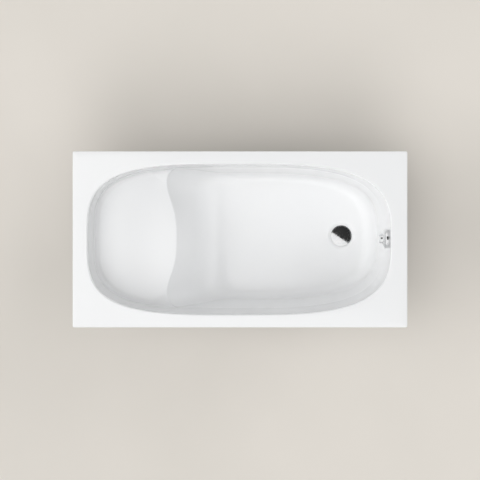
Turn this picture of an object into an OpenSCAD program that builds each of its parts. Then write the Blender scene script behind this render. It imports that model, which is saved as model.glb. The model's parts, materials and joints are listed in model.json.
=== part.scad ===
// Rectangular step bath of enamelled steel: a sitting ledge at the head end, a deep
// footwell at the foot end, levelling feet, and a turn-knob waste and overflow with trap.
// Origin: on the ground, under the middle of the rim. +X to the foot end, +Z up.

/* [Rim] */
// Length of the rim, along X
rim_len = 1330; // [1300:5:1400]
// Width of the rim, along Y
rim_wid = 700; // [690:5:760]
// Height of the rim's top above the ground
rim_z = 560; // [555:5:620]
// Height of the lip that is folded down round the rim
lip_h = 32; // [24:1:40]
// Width of the lip's return, folded inwards at the bottom
lip_return = 14; // [8:1:18]
// Radius of the rim's outer edge
edge_r = 4; // [3.5:0.5:6]
// Radius of the rim's corners in plan
corner_r = 6; // [5:0.5:12]
// Thickness of the enamelled steel
shell_t = 3; // [2:0.25:3.25]

/* [Basin] */
// Width of the flat rim at the foot end
rim_foot = 50; // [44:1:60]
// Width of the flat rim at the head end
rim_head = 44; // [40:1:60]
// Width of the flat rim along each side
rim_side = 36; // [28:1:42]
// Radius of the rolled edge between the rim and the basin
roll_r = 16; // [12:1:20]
// Squareness of the basin's outline at the foot end
square_foot = 3.3; // [3:0.1:3.8]
// Squareness of the basin's outline at the head end
square_head = 3.6; // [3.2:0.1:4]
// Depth of the basin below the rim, at the drain
floor_depth = 400; // [385:5:400]
// Fall of the floor towards the drain, degrees
floor_fall = 0.8; // [0.4:0.1:1]
// Draft of the side walls above the seat's level, degrees
draft_side = 2.5; // [1.5:0.5:4]
// Draft of the footwell's side walls below the seat's level, degrees
draft_well = 7; // [5:0.5:8]
// Draft of the foot end wall, degrees
draft_foot = 3; // [2:0.5:4]
// Draft of the wall behind the seat, degrees
draft_head = 2; // [1:0.5:5]
// Radius between the side walls and the floor
fillet_side = 40; // [30:5:60]
// Radius between the foot end wall and the floor
fillet_foot = 65; // [50:5:75]

/* [Seat] */
// Depth of the seat below the rim
seat_depth = 190; // [175:5:200]
// Fall of the seat towards the footwell, degrees
seat_fall = 1; // [0.5:0.25:1.5]
// Distance from the rim's head edge to the seat's front edge at its middle
seat_reach = 404; // [392:2:416]
// How far the seat's front edge draws back at its two sides
lobe_back = 40; // [28:1:46]
// Corner of the footwell at the seat, measured along X
lobe_x = 48; // [42:1:54]
// Corner of the footwell at the seat, measured along Y
lobe_y = 60; // [52:1:68]
// Radius between the seat and the wall round it
seat_fillet = 20; // [16:1:32]
// Radius of the seat's front edge
seat_edge_r = 14; // [10:1:18]
// Slope of the riser below the seat, degrees from upright
riser_slope = 30; // [26:1:33]
// Radius between the riser and the floor
riser_fillet = 155; // [140:5:165]
// Corner radius of the flat floor at the riser
floor_corner = 80; // [60:5:95]

/* [Waste] */
// Distance from the rim's foot edge to the middle of the drain
drain_in = 231; // [222:1:240]
// Radius of the waste hole and of the overflow hole
hole_r = 26; // [25.5:0.25:27]
// Depth of the pressed seat round the drain
dish_depth = 4; // [3.5:0.25:4.5]
// Radius of the waste flange
flange_r = 45.5; // [44:0.5:47]
// Radius of the plug's cover
plug_r = 42; // [40:0.5:43]
// Height that the plug lifts
plug_lift = 9; // [7:0.5:9]
// Outer radius of the waste body's cup
cup_body_r = 34; // [33:0.5:36]
// Outer radius of the waste pipe
pipe_r = 20; // [19:0.25:20]
// Wall of the waste pipe
pipe_t = 2.5; // [2:0.25:3]

/* [Overflow] */
// Depth of the overflow hole's middle below the rim
overflow_depth = 70; // [66:1:80]
// Radius of the overflow knob
knob_r = 38; // [36:0.5:39]
// Radius of the knob's grip
grip_r = 20; // [17:0.5:22]
// How far the knob stands out from the wall
knob_deep = 36; // [32:1:38]
// Radius of the knob's spindle
spindle_r = 4; // [3.5:0.25:4]
// Travel of the knob, degrees
knob_turn = 110; // [90:5:110]
// Outer radius of the overflow body's cup
over_body_r = 31; // [30:0.5:32]
// Depth of the overflow body behind the wall
over_body_deep = 42; // [40:1:44]

/* [Hose] */
// Outer radius of the hose's ribs
hose_r = 14; // [13:0.5:14.5]
// Radius of the hose's bore
hose_bore_r = 10; // [9:0.5:10.5]
// Distance from rib to rib
rib_pitch = 5.5; // [5:0.25:8]
// Bend radius of the hose
hose_bend_r = 80; // [70:5:90]
// Radius of the pull cable's sheath
cable_r = 2.5; // [2:0.25:3]
// Distance between the hose and the cable, along Y
cable_y = 20; // [19.5:0.25:21]

/* [Trap] */
// Radius of the trap's bend, at the pipe's middle
trap_bend_r = 34; // [33:0.5:36]
// Radius of the outlet's bend, at the pipe's middle
outlet_bend_r = 28; // [26:0.5:30]
// Outer radius of the union nuts
union_r = 30; // [29:0.5:32]
// Length of the outlet pipe beyond its socket
pipe_len = 104; // [80:2:120]

/* [Supports] */
// Distance from the rim's head edge to the seat crossbar
seat_bar_in = 235; // [225:5:250]
// Distance from the rim's foot edge to the floor crossbar
floor_bar_in = 365; // [355:5:380]
// Half the distance between the legs of the seat crossbar
seat_foot_y = 215; // [200:5:225]
// Half the distance between the feet of the floor crossbar
floor_foot_y = 190; // [175:5:200]
// Width of a crossbar
bar_w = 40; // [38:1:44]
// Height of a crossbar
bar_h = 35; // [34:1:38]
// Thickness of the crossbars' steel
bar_t = 2; // [1.5:0.25:2.5]
// Outer width of a leg tube
leg_w = 30; // [28:1:32]
// Half the distance between the rubber pads on a crossbar
pad_y = 110; // [100:5:120]
// Thickness of the rubber pads under the basin
pad_t = 4; // [3:0.5:5]

/* [Feet] */
// Radius of a levelling stud
stud_r = 5; // [4:0.5:5]
// Height of the ground gap that a foot can still take up
foot_travel = 20; // [15:1:20]
// Radius of a foot cup at the ground
foot_r = 27; // [24:1:30]
// Height of a foot cup
foot_h = 24; // [22:1:28]
// Thickness of a foot's rubber sole
sole_t = 4; // [3:0.5:5]

/* [Hidden] */
fn = 64;
touch = 0.05;      // gap between still faces that lie on each other
run = 0.1;         // radial gap of a piece that turns or slides in a bore
stand_off = 0.3;   // gap between moving faces that rest against each other
cut = 1;           // how far a cut runs past the face it opens

// Stations round half the basin, from the foot end over one side to the head end
n_end = 16;
n_side = 4;
n_lobe = 5;
n_head = 11;
n_half = n_end + n_side + n_lobe + n_head;
lobe_from = 114;
lobe_to = 123;

// Plan of the basin where its rolled edge turns into the wall
wall_foot = rim_len / 2 - rim_foot - roll_r;
wall_head = rim_len / 2 - rim_head - roll_r;
wall_side = rim_wid / 2 - rim_side - roll_r;
wall_top = rim_z - roll_r;
drain_x = rim_len / 2 - drain_in;
drain_z = rim_z - floor_depth;
front_x = seat_reach - rim_len / 2;
seat_z = rim_z - seat_depth;
seat_over_floor = seat_z - drain_z;

function mix(a, b, w) = a + (b - a) * w;
function floor_rise(x) = max(0, drain_x - x) * tan(floor_fall);
function floor_at(x) = drain_z + floor_rise(x);
function seat_at(x) = seat_z + (front_x - x) * tan(seat_fall);

// How far a drafted wall with a round foot stands in from its top, at height h over the floor
function wall_in(h, top, r, draft) =
    let (tangent = r * (1 - sin(draft)), low = max(0, r - h))
    h >= tangent
        ? tan(draft) * (top - h)
        : tan(draft) * (top - tangent) + r * cos(draft) - sqrt(max(0, r * r - low * low));

// A station is its segment, its place along that from 0 to 1, its angle round the basin,
// and its share of the seat, which is 0 on the footwell's walls and 1 where there is a seat.
function station(i) =
    i <= n_end ? let (u = i / n_end) [0, u, 90 * u + 4 * sin(360 * u), 0] :
    i <= n_end + n_side
        ? let (u = (i - n_end) / n_side) [1, u, mix(90, lobe_from, u), 0] :
    i <= n_end + n_side + n_lobe
        ? let (u = (i - n_end - n_side) / n_lobe)
            [2, u, mix(lobe_from, lobe_to, u), u * u * (2 - u)] :
    let (u = (i - n_end - n_side - n_lobe) / n_head)
        [3, u, mix(lobe_to, 180, pow(u, 1.25)), 1];
stations = [for (i = [0:n_half]) station(i)];

// Point of a rounded oblong with half axes a and b and squareness n, in direction t
function oblong(a, b, n, t) =
    let (c = abs(cos(t)), s = abs(sin(t)), k = pow(pow(c, n) + pow(s, n), -1 / n))
    [a * cos(t) * k, b * sin(t) * k];

// Point of the basin's outline, drawn in by the given amounts at its foot, side and head
function outline(st, foot, side, head) =
    st[2] <= 90
        ? oblong(wall_foot - foot, wall_side - side, square_foot, st[2])
        : oblong(wall_head - head, wall_side - side, square_head, st[2]);

// The rim's rectangle has a round corner between these stations
corner_a = 7;
corner_b = 9;
corner_c = n_end + n_side + n_lobe + 3;
corner_d = corner_c + 2;
function plan_x(i) = outline(stations[i], 0, 0, 0)[0];
function side_share(i) = plan_x(i) > 0 ? plan_x(i) / plan_x(corner_b) : -plan_x(i) / plan_x(corner_c);
function rim_point(i, d) =
    let (x = rim_len / 2 - d, y = rim_wid / 2 - d, r = max(corner_r - d, 0.5))
    i <= corner_a ? [x, (y - r) * i / corner_a] :
    i < corner_b
        ? let (t = 90 * (i - corner_a) / (corner_b - corner_a))
            [x - r + r * cos(t), y - r + r * sin(t)] :
    i <= corner_c ? [(x - r) * side_share(i), y] :
    i < corner_d
        ? let (t = 90 + 90 * (i - corner_c) / (corner_d - corner_c))
            [r - x + r * cos(t), y - r + r * sin(t)] :
    [-x, (y - r) * (n_half - i) / (n_half - corner_d)];
function rim_ring(d, drop) = [for (i = [0:n_half]) [each rim_point(i, d), rim_z - drop]];

// Ring of the rolled edge, turned a degrees down from level
function roll_ring(a) =
    let (out = -roll_r * (1 - sin(a)))
    [for (st = stations) [each outline(st, out, out, out), rim_z - roll_r * (1 - cos(a))]];

// Ring of the upper wall. On the footwell's walls it lies wall_up over the seat's level. Where
// there is a seat it stands seat_up over the seat and turn in from the wall.
function upper_point(st, z, turn) =
    let (fall = wall_top - z, in = turn * st[3])
    [each outline(st, tan(draft_foot) * fall, tan(draft_side) * fall + in,
        tan(draft_head) * fall + in), z];
function upper_ring(wall_up, seat_up, turn) =
    [for (st = stations)
        let (x = outline(st, 0, turn, turn)[0])
        upper_point(st, mix(seat_z + wall_up, seat_at(x) + seat_up, st[3]), turn)];

// Plan of the footwell at height h over the floor
function lobe_shape(v) = pow(cos(90 * pow(v, 1.5)), 2);
function side_y(x, foot, side) =
    x > 0
        ? side * pow(1 - pow(x / foot, square_foot), 1 / square_foot)
        : side * pow(1 - pow(-x / wall_head, square_head), 1 / square_head);
function footwell(st, h) =
    let (
        share = min(1, h / seat_over_floor),
        top = wall_top - drain_z,
        low = min(h, seat_over_floor),
        foot = wall_foot - wall_in(h, top, fillet_foot, draft_foot),
        side = wall_side - tan(draft_side) * (top - max(h, seat_over_floor))
            - wall_in(low, seat_over_floor, fillet_side, draft_well),
        riser = wall_in(low, seat_over_floor, riser_fillet, riser_slope),
        back = front_x + riser - lobe_back * share,
        rx = mix(floor_corner, lobe_x, share),
        ry = mix(floor_corner, lobe_y, share),
        corner = side_y(back + rx, foot, side),
        start = mix(72, 90, share),
        turn = 90 * st[1],
        y = (corner - ry) * (1 - st[1]),
        x = mix(oblong(foot, side, square_foot, start)[0], back + rx, st[1])
    )
    st[0] == 0 ? oblong(foot, side, square_foot, st[2] * start / 90) :
    st[0] == 1 ? [x, side_y(x, foot, side)] :
    st[0] == 2 ? [back + rx - rx * sin(turn), corner - ry + ry * cos(turn)] :
    [back + lobe_back * share * lobe_shape(1 - st[1]), y];

// Ring across the seat's front edge, standing back by out and lying lower by drop
function edge_ring(wall_up, out, drop) =
    [for (st = stations)
        let (
            turn = st[0] == 2 ? 90 * st[1] : 90,
            p = footwell(st, seat_over_floor + wall_up * (1 - st[3])),
            x = p[0] - out * st[3] * sin(turn),
            y = p[1] + out * st[3] * cos(turn)
        )
        [x, y, mix(seat_z + wall_up, seat_at(x) - drop, st[3])]];
function lower_ring(h) =
    [for (st = stations)
        let (p = footwell(st, h))
        [each p, drain_z + h + floor_rise(p[0]) * (1 - h / seat_over_floor)]];

// Ring round the drain's pressed seat. Its points lie partly even and partly towards the walls.
dish_r = flange_r + 1.5;
dish_slope = 12;
function dish_ring(r, drop) =
    [for (i = [0:n_half])
        let (
            p = footwell(stations[i], 0),
            t = mix(180 * i / n_half, atan2(p[1], p[0] - drain_x), 0.4),
            x = drain_x + r * cos(t)
        )
        [x, r * sin(t), drain_z + (drop > 0 ? -drop : floor_rise(x))]];

edge_turn = 90 - riser_slope;
edge_back = seat_edge_r * tan(edge_turn / 2);
half_rings = concat(
    [
        rim_ring(lip_return, lip_h),
        rim_ring(edge_r * 0.6, lip_h),
        rim_ring(0, lip_h - edge_r * 0.6),
        rim_ring(0, edge_r),
        rim_ring(edge_r * 0.3, edge_r * 0.3),
        rim_ring(edge_r, 0)
    ],
    [for (a = [0, 30, 60, 90 - draft_side]) roll_ring(a)],
    [upper_ring(seat_over_floor / 2, seat_over_floor / 2, 0)],
    [for (k = [0:4])
        let (a = 22.5 * k)
        upper_ring(50 - 8 * k, seat_fillet * (1 - sin(a)), seat_fillet * (1 - cos(a)))],
    [for (k = [0:2])
        let (a = edge_turn * k / 2)
        edge_ring(8 - 4 * k, edge_back - seat_edge_r * sin(a), seat_edge_r * (1 - cos(a)))],
    [for (share = [0.78, 0.56]) lower_ring(share * seat_over_floor)],
    [for (k = [6:-1:0]) lower_ring(riser_fillet * (1 - cos(edge_turn * k / 6)))],
    [dish_ring(dish_r + dish_slope, 0), dish_ring(dish_r, dish_depth)]
);
n_rings = len(half_rings);
n_full = 2 * n_half;

// The whole ring: the half, then its mirror image
function flip(p) = [p[0], -p[1], p[2]];
function whole(half) = concat(half, [for (i = [n_half - 1:-1:1]) flip(half[i])]);
outer_face = [for (half = half_rings) each whole(half)];
function unit(v) = v / norm(v);
function at(r, i) = outer_face[r * n_full + (i + n_full) % n_full];
function across(r, i) =
    r == 0 ? unit(at(1, i) - at(0, i)) :
    r == n_rings - 1 ? unit([drain_x, 0, at(r, i)[2]] - at(r, i)) :
    unit(unit(at(r + 1, i) - at(r, i)) + unit(at(r, i) - at(r - 1, i)));
function normal(r, i) =
    unit(cross(unit(at(r, i + 1) - at(r, i)) + unit(at(r, i) - at(r, i - 1)), across(r, i)));
inner_face = [for (r = [0:n_rings - 1]) for (i = [0:n_full - 1]) at(r, i) - shell_t * normal(r, i)];
n_face = n_rings * n_full;
bowl_points = concat(
    outer_face,
    inner_face,
    [[drain_x, 0, drain_z - dish_depth], [drain_x, 0, drain_z - dish_depth - shell_t]]
);
function quad(a, b, c, d) = [[a, b, c], [a, c, d]];
bowl_faces = concat(
    [for (r = [0:n_rings - 2]) for (i = [0:n_full - 1])
        let (j = (i + 1) % n_full, a = r * n_full, b = a + n_full)
        each quad(a + i, b + i, b + j, a + j)],
    [for (r = [0:n_rings - 2]) for (i = [0:n_full - 1])
        let (j = (i + 1) % n_full, a = n_face + r * n_full, b = a + n_full)
        each quad(a + i, a + j, b + j, b + i)],
    [for (i = [0:n_full - 1])
        let (j = (i + 1) % n_full)
        each quad(i, j, n_face + j, n_face + i)],
    [for (i = [0:n_full - 1])
        let (j = (i + 1) % n_full, last = n_face - n_full)
        [last + i, 2 * n_face, last + j]],
    [for (i = [0:n_full - 1])
        let (j = (i + 1) % n_full, last = 2 * n_face - n_full)
        [last + i, last + j, 2 * n_face + 1]]
);

// Frames in which the waste and the overflow are drawn. The overflow's +Z points from the
// wall into the basin, and its +X points up the wall.
overflow_z = rim_z - overflow_depth;
overflow_x = wall_foot - tan(draft_foot) * (wall_top - overflow_z);
module at_drain() {
    translate([drain_x, 0, drain_z])
        children();
}
module at_overflow() {
    translate([overflow_x, 0, overflow_z])
        rotate([0, draft_foot - 90, 0])
        children();
}

// Shapes that repeat
module tube(outer, inner, from, to) {
    difference() {
        translate([0, 0, from])
            cylinder(r = outer, h = to - from, $fn = fn);
        translate([0, 0, from - cut])
            cylinder(r = inner, h = to - from + 2 * cut, $fn = fn);
    }
}
module rod(r, from, to) {
    translate([0, 0, from])
        cylinder(r = r, h = to - from, $fn = fn);
}
module hex_nut(across_r, bore, height) {
    difference() {
        cylinder(r = across_r, h = height, $fn = 6);
        translate([0, 0, -cut])
            cylinder(r = bore, h = height + 2 * cut, $fn = fn);
    }
}

module tub_shell() {
    color("white")
    difference() {
        polyhedron(points = bowl_points, faces = bowl_faces, convexity = 12);
        at_drain()
            rod(hole_r, -dish_depth - shell_t - 5, 5);
        at_overflow()
            rod(hole_r, -shell_t - 5, 5);
    }
}

// Anything that lies under the sloping seat or floor is a wedge between two heights
module wedge(x_from, x_to, y_from, y_to, low_from, low_to, high_from, high_to) {
    translate([0, y_to, 0])
        rotate([90, 0, 0])
        linear_extrude(y_to - y_from)
        polygon([[x_from, low_from], [x_to, low_to], [x_to, high_to], [x_from, high_from]]);
}
under = shell_t + touch;
mat_t = 2.5;
mat_gap = 14;            // between a mat and the crossbar beside it
mat_back = 34;           // from the seat's front edge back to its mat
seat_mat_half = 150;
floor_mat_half = 100;
floor_mat_len = 180;
module seat_mat() {
    from = seat_bar_x + bar_edge + mat_gap;
    to = front_x - mat_back;
    color("dimgray")
    wedge(from, to, -seat_mat_half, seat_mat_half, seat_at(from) - under - mat_t,
        seat_at(to) - under - mat_t, seat_at(from) - under, seat_at(to) - under);
}
module floor_mat() {
    to = floor_bar_x - bar_edge - mat_gap;
    from = to - floor_mat_len;
    color("dimgray")
    wedge(from, to, -floor_mat_half, floor_mat_half, floor_at(from) - under - mat_t,
        floor_at(to) - under - mat_t, floor_at(from) - under, floor_at(to) - under);
}

// Crossbars are steel channels, open at the bottom, on rubber pads under the basin
seat_bar_x = seat_bar_in - rim_len / 2;
floor_bar_x = rim_len / 2 - floor_bar_in;
bar_edge = bar_w / 2;
seat_bar_top = seat_at(seat_bar_x + bar_edge) - under - pad_t - touch;
floor_bar_top = floor_at(floor_bar_x + bar_edge) - under - pad_t - touch;
seat_bar_half = seat_foot_y + 27;
floor_bar_half = floor_foot_y + 34;
pad_half = 38;
weld_y = 40;
weld_r = 3;
module pad(x, y, high_from, high_to, low) {
    wedge(x - bar_edge, x + bar_edge, y - pad_half, y + pad_half, low, low, high_from, high_to);
}
module bar_pads() {
    color("#222222")
    for (y = [-pad_y, pad_y]) {
        pad(seat_bar_x, y, seat_at(seat_bar_x - bar_edge) - under,
            seat_at(seat_bar_x + bar_edge) - under, seat_bar_top + touch);
        pad(floor_bar_x, y, floor_at(floor_bar_x - bar_edge) - under,
            floor_at(floor_bar_x + bar_edge) - under, floor_bar_top + touch);
    }
}
module weld_places() {
    for (y = [-weld_y, weld_y]) {
        translate([seat_bar_x, y, seat_bar_top])
            children();
        translate([floor_bar_x, y, floor_bar_top])
            children();
    }
}
weld_nut_h = 5;
module weld_studs() {
    color("silver")
    weld_places() {
        rod(weld_r, -bar_t - weld_nut_h - 3, pad_t + touch * 2);
        rod(weld_r + 2.5, pad_t - 1, pad_t + touch * 2);
    }
}
module weld_stud_nuts() {
    color("silver")
    weld_places()
        translate([0, 0, -bar_t - touch - weld_nut_h])
        hex_nut(weld_r * 1.9, weld_r + touch, weld_nut_h);
}
module channel(half) {
    difference() {
        translate([-bar_edge, -half, -bar_h])
            cube([bar_w, 2 * half, bar_h]);
        translate([bar_t - bar_edge, -half - cut, -bar_h - cut])
            cube([bar_w - 2 * bar_t, 2 * (half + cut), bar_h - bar_t + cut]);
        for (y = [-weld_y, weld_y])
            translate([0, y, 0])
            rod(weld_r + 0.5, -bar_t - cut, cut);
    }
}
foot_plate_t = 3;
foot_plate_half = 30;
stud_nut_h = 8;
stud_nut_r = 1.9 * stud_r;
module floor_crossbar() {
    color("slategray")
    translate([floor_bar_x, 0, floor_bar_top])
    difference() {
        union() {
            channel(floor_bar_half);
            for (y = [-floor_foot_y, floor_foot_y])
                translate([0, y, -bar_h]) {
                    translate([-bar_edge, -foot_plate_half, 0])
                        cube([bar_w, 2 * foot_plate_half, foot_plate_t]);
                    cylinder(r = stud_nut_r, h = foot_plate_t + stud_nut_h, $fn = 6);
                }
        }
        for (y = [-floor_foot_y, floor_foot_y])
            translate([0, y, 0])
            rod(stud_r + run, -bar_h - cut, -bar_t - 5);
        translate([-bar_edge, earth_y, -bar_h / 2])
            rotate([0, 90, 0])
            rod(earth_r + touch, -cut, bar_t + cut);
    }
}
bolt_r = 4;
leg_bolt_z = -bar_h / 2;
module across_bar(from, to) {
    rotate([0, 90, 0])
        rod(bolt_r + touch, from, to);
}
module seat_crossbar() {
    color("slategray")
    translate([seat_bar_x, 0, seat_bar_top])
    difference() {
        channel(seat_bar_half);
        for (y = [-seat_foot_y, seat_foot_y])
            translate([0, y, leg_bolt_z])
            across_bar(-bar_edge - cut, bar_edge + cut);
    }
}

// Legs are square tubes with a threaded block in the bottom
leg_t = 2;
leg_bottom = 58;
block_h = 12;
module leg(side) {
    color("slategray")
    translate([seat_bar_x, side * seat_foot_y, 0])
    difference() {
        translate([-leg_w / 2, -leg_w / 2, leg_bottom])
            cube([leg_w, leg_w, seat_bar_top - bar_t - touch - leg_bottom]);
        translate([leg_t - leg_w / 2, leg_t - leg_w / 2, leg_bottom + block_h])
            cube([leg_w - 2 * leg_t, leg_w - 2 * leg_t, seat_bar_top - leg_bottom]);
        rod(stud_r + run, leg_bottom - cut, leg_bottom + block_h + cut);
        translate([0, 0, seat_bar_top + leg_bolt_z])
            across_bar(-leg_w, leg_w);
    }
}
module leg_1() {
    leg(-1);
}
module leg_2() {
    leg(1);
}
bolt_head_h = 5;
module leg_bolts() {
    color("silver")
    for (y = [-seat_foot_y, seat_foot_y])
        translate([seat_bar_x, y, seat_bar_top + leg_bolt_z])
        rotate([0, 90, 0]) {
            rod(bolt_r, -bar_edge - touch, bar_edge + touch + bolt_head_h + 2);
            translate([0, 0, -bar_edge - touch - bolt_head_h])
                cylinder(r = bolt_r * 1.8, h = bolt_head_h, $fn = 6);
            translate([0, 0, bar_edge + touch])
                cylinder(r = bolt_r * 1.8, h = bolt_head_h, $fn = 6);
        }
}

// The earth tag is a steel strip on the outside of the floor crossbar
earth_y = 100;
earth_r = 3;
earth_hole_r = 3.3;
earth_t = 1.5;
module earth_tag() {
    color("goldenrod")
    translate([floor_bar_x - bar_edge - touch - earth_t, earth_y, floor_bar_top - bar_h / 2])
    rotate([0, 90, 0])
    difference() {
        translate([-9, -9, 0])
            cube([40, 18, earth_t]);
        rod(earth_r + touch, -cut, earth_t + cut);
        translate([22, 0, 0])
            rod(earth_hole_r, -cut, earth_t + cut);
    }
}
module earth_bolt() {
    color("silver")
    translate([floor_bar_x - bar_edge - touch - earth_t, earth_y, floor_bar_top - bar_h / 2])
    rotate([0, 90, 0]) {
        rod(earth_r, -touch, 15);
        translate([0, 0, -touch - 4])
            cylinder(r = earth_r * 1.8, h = 4, $fn = 6);
        translate([0, 0, earth_t + bar_t + 2 * touch])
            cylinder(r = earth_r * 1.8, h = 5, $fn = 6);
    }
}

// Feet 1 and 2 are under the legs, 3 and 4 under the floor crossbar
feet = [
    [seat_bar_x, -seat_foot_y, leg_bottom],
    [seat_bar_x, seat_foot_y, leg_bottom],
    [floor_bar_x, -floor_foot_y, floor_bar_top - bar_h],
    [floor_bar_x, floor_foot_y, floor_bar_top - bar_h]
];
lock_nut_h = 6;
socket_r = 9;
socket_h = 6;
socket_z = sole_t + touch + 5;
neck_h = foot_h - socket_z - socket_h - touch - stand_off;
collar_h = 6;
stud_reach = foot_plate_t + stud_nut_h + foot_travel - 4;
module at_foot(i) {
    translate([feet[i][0], feet[i][1], 0])
        children();
}
module lock_nuts() {
    color("silver")
    for (i = [0:3])
        at_foot(i)
        translate([0, 0, feet[i][2] - touch - lock_nut_h])
        hex_nut(stud_nut_r, stud_r + run, lock_nut_h);
}
module foot_cup(i) {
    color("#333333")
    at_foot(i)
    rotate_extrude($fn = fn)
    polygon([
        [0, sole_t + touch],
        [foot_r - 2, sole_t + touch],
        [foot_r, sole_t + 3],
        [foot_r, sole_t + 6],
        [foot_r - 3, sole_t + 9],
        [socket_r + 7, foot_h - 2],
        [socket_r + 5, foot_h],
        [stud_r + run, foot_h],
        [stud_r + run, foot_h - neck_h],
        [socket_r + run, foot_h - neck_h],
        [socket_r + run, socket_z],
        [0, socket_z]
    ]);
}
module foot_sole(i) {
    color("#111111")
    at_foot(i)
    difference() {
        rod(foot_r, 0, sole_t);
        for (r = [foot_r * 0.45, foot_r * 0.75])
            tube(r + 1, r - 1, -cut, 1);
    }
}
module foot_stud(i) {
    color("silver")
    at_foot(i) {
        rod(stud_r, socket_z + touch, feet[i][2] + stud_reach);
        rod(socket_r, socket_z + touch, socket_z + touch + socket_h);
        translate([0, 0, foot_h + stand_off])
            cylinder(r = stud_nut_r, h = collar_h, $fn = 6);
    }
}
module foot_cup_1() { foot_cup(0); }
module foot_cup_2() { foot_cup(1); }
module foot_cup_3() { foot_cup(2); }
module foot_cup_4() { foot_cup(3); }
module foot_sole_1() { foot_sole(0); }
module foot_sole_2() { foot_sole(1); }
module foot_sole_3() { foot_sole(2); }
module foot_sole_4() { foot_sole(3); }
module foot_stud_1() { foot_stud(0); }
module foot_stud_2() { foot_stud(1); }
module foot_stud_3() { foot_stud(2); }
module foot_stud_4() { foot_stud(3); }

// Waste, from the floor's surface down
seal_t = 1.5;
flange_t = 2.2;
flange_low = -dish_depth + touch + seal_t + touch;
flange_top = flange_low + flange_t;
throat_r = hole_r - 1;
throat_bore = throat_r - 3;
throat_low = -26;
guide_top = -10;
guide_low = -18;
stem_r = 4;
gasket_t = 3;
body_top = -dish_depth - shell_t - touch - gasket_t - touch;
body_flange_t = 4;
body_flange_r = hole_r + 16;
cup_t = 3;
cup_low = -52;
neck_low = body_top - body_flange_t - 12;
port_z = -38;
port_r = hose_r - 1;
port_end = cup_body_r + 26;
cable_port_z = -44;
gland_r = cable_r + 2;
module waste_seal() {
    color("#111111")
    at_drain()
        tube(flange_r - 2, hole_r + 1, -dish_depth + touch, -dish_depth + touch + seal_t);
}
module waste_flange() {
    color("silver")
    at_drain() {
        rotate_extrude($fn = fn)
        polygon([
            [throat_bore, throat_low],
            [throat_r, throat_low],
            [throat_r, flange_low],
            [flange_r - 0.5, flange_low],
            [flange_r, flange_low + 0.8],
            [flange_r - 1, flange_top],
            [throat_bore + 4, flange_top],
            [throat_bore, flange_top - 4]
        ]);
        difference() {
            union() {
                rod(stem_r + 3, guide_low, guide_top);
                for (a = [0, 120, 240])
                    rotate([0, 0, a])
                    translate([stem_r + 1, -1.5, guide_low])
                    cube([throat_bore - stem_r, 3, guide_top - guide_low]);
            }
            rod(stem_r + run, guide_low - cut, guide_top + cut);
        }
    }
}
module waste_gasket() {
    color("#111111")
    at_drain()
        tube(body_flange_r - 1, hole_r + 0.5, body_top + touch, body_top + touch + gasket_t);
}
module waste_body() {
    color("#444444")
    at_drain()
    difference() {
        union() {
            rod(body_flange_r, body_top - body_flange_t, body_top);
            rod(cup_body_r, cup_low, body_top - body_flange_t + touch);
            rod(pipe_r, outlet_low - drain_z, cup_low + touch);
            translate([0, 0, port_z])
                rotate([0, 90, 0])
                rod(port_r, cup_body_r / 2, port_end);
            translate([0, cable_y, cable_port_z])
                rotate([0, 90, 0])
                rod(gland_r, 20, cup_body_r + 6);
        }
        rod(throat_r + touch, neck_low - cut, body_top + cut);
        rod(cup_body_r - cup_t, cup_low + cup_t, neck_low);
        rod(pipe_r - pipe_t, outlet_low - drain_z - cut, cup_low + cup_t + cut);
        translate([0, 0, port_z])
            rotate([0, 90, 0])
            rod(hose_bore_r, cup_body_r / 2, port_end + cut);
        translate([0, cable_y, cable_port_z])
            rotate([0, 90, 0])
            rod(cable_r + touch, 20, cup_body_r + 6 + cut);
        translate([lever_x, 0, lever_z])
            rotate([90, 0, 0])
            rod(pin_r + touch, -pin_half - touch, pin_half + touch);
    }
}

// The lever lies level halfway through its travel, so that its tip follows the plug
lever_x = 16;
lever_rise = atan(plug_lift / 2 / lever_x);
pin_r = 2;
pin_half = 28.5;
tip_r = 3;
adjuster_low = -35;
tip_z = adjuster_low - stand_off - tip_r;
lever_z = tip_z + plug_lift / 2;
hub_r = 4;
arm_low = -3;
arm_t = 3.5;
crank_len = 10;
crank_y = cable_y - 3;
module lever_pin() {
    color("silver")
    at_drain()
    translate([lever_x, 0, lever_z])
    rotate([90, 0, 0])
        rod(pin_r, -pin_half, pin_half);
}
module lift_lever() {
    color("silver")
    at_drain()
    translate([lever_x, 0, lever_z])
    difference() {
        union() {
            rotate([90, 0, 0])
                rod(hub_r, -crank_y - 5, 4);
            rotate([0, -lever_rise, 0]) {
                translate([-lever_x / cos(lever_rise), 3, 0])
                    rotate([90, 0, 0])
                    rod(tip_r, 0, 6);
                translate([-lever_x / cos(lever_rise), -3, arm_low])
                    cube([lever_x, 6, arm_t]);
            }
            translate([-2, crank_y, -crank_len])
                cube([4, 5, crank_len]);
        }
        rotate([90, 0, 0])
            rod(pin_r + run, -cable_y - 10, 10);
    }
}

// Plug: a chrome cover on a stem, with a seal between the cover and the stem's collar
cover_low = flange_top + stand_off;
cover_edge = 1.5;
cover_rise = 5;
boss_r = 12;
seal_r = throat_bore - 0.4;
seal_low = -6;
collar_r = 14;
collar_t = 2;
adjuster_r = 6;
adjuster_t = 3;
stem_low = adjuster_low + adjuster_t + 2;
module plug_cover() {
    color("silver")
    at_drain()
    difference() {
        rotate_extrude($fn = fn)
        polygon(concat(
            [[0, seal_low], [boss_r, seal_low], [boss_r, cover_low], [plug_r - 0.6, cover_low]],
            [for (k = [0:6]) let (r = plug_r * (1 - k / 6))
                [r, cover_low + cover_edge + (cover_rise - cover_edge) * (1 - pow(r / plug_r, 2))]]
        ));
        rod(stem_r + touch, seal_low - cut, cover_low);
    }
}
module plug_seal() {
    color("#111111")
    at_drain()
        tube(seal_r, boss_r + touch, seal_low + touch, cover_low - touch);
}
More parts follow.
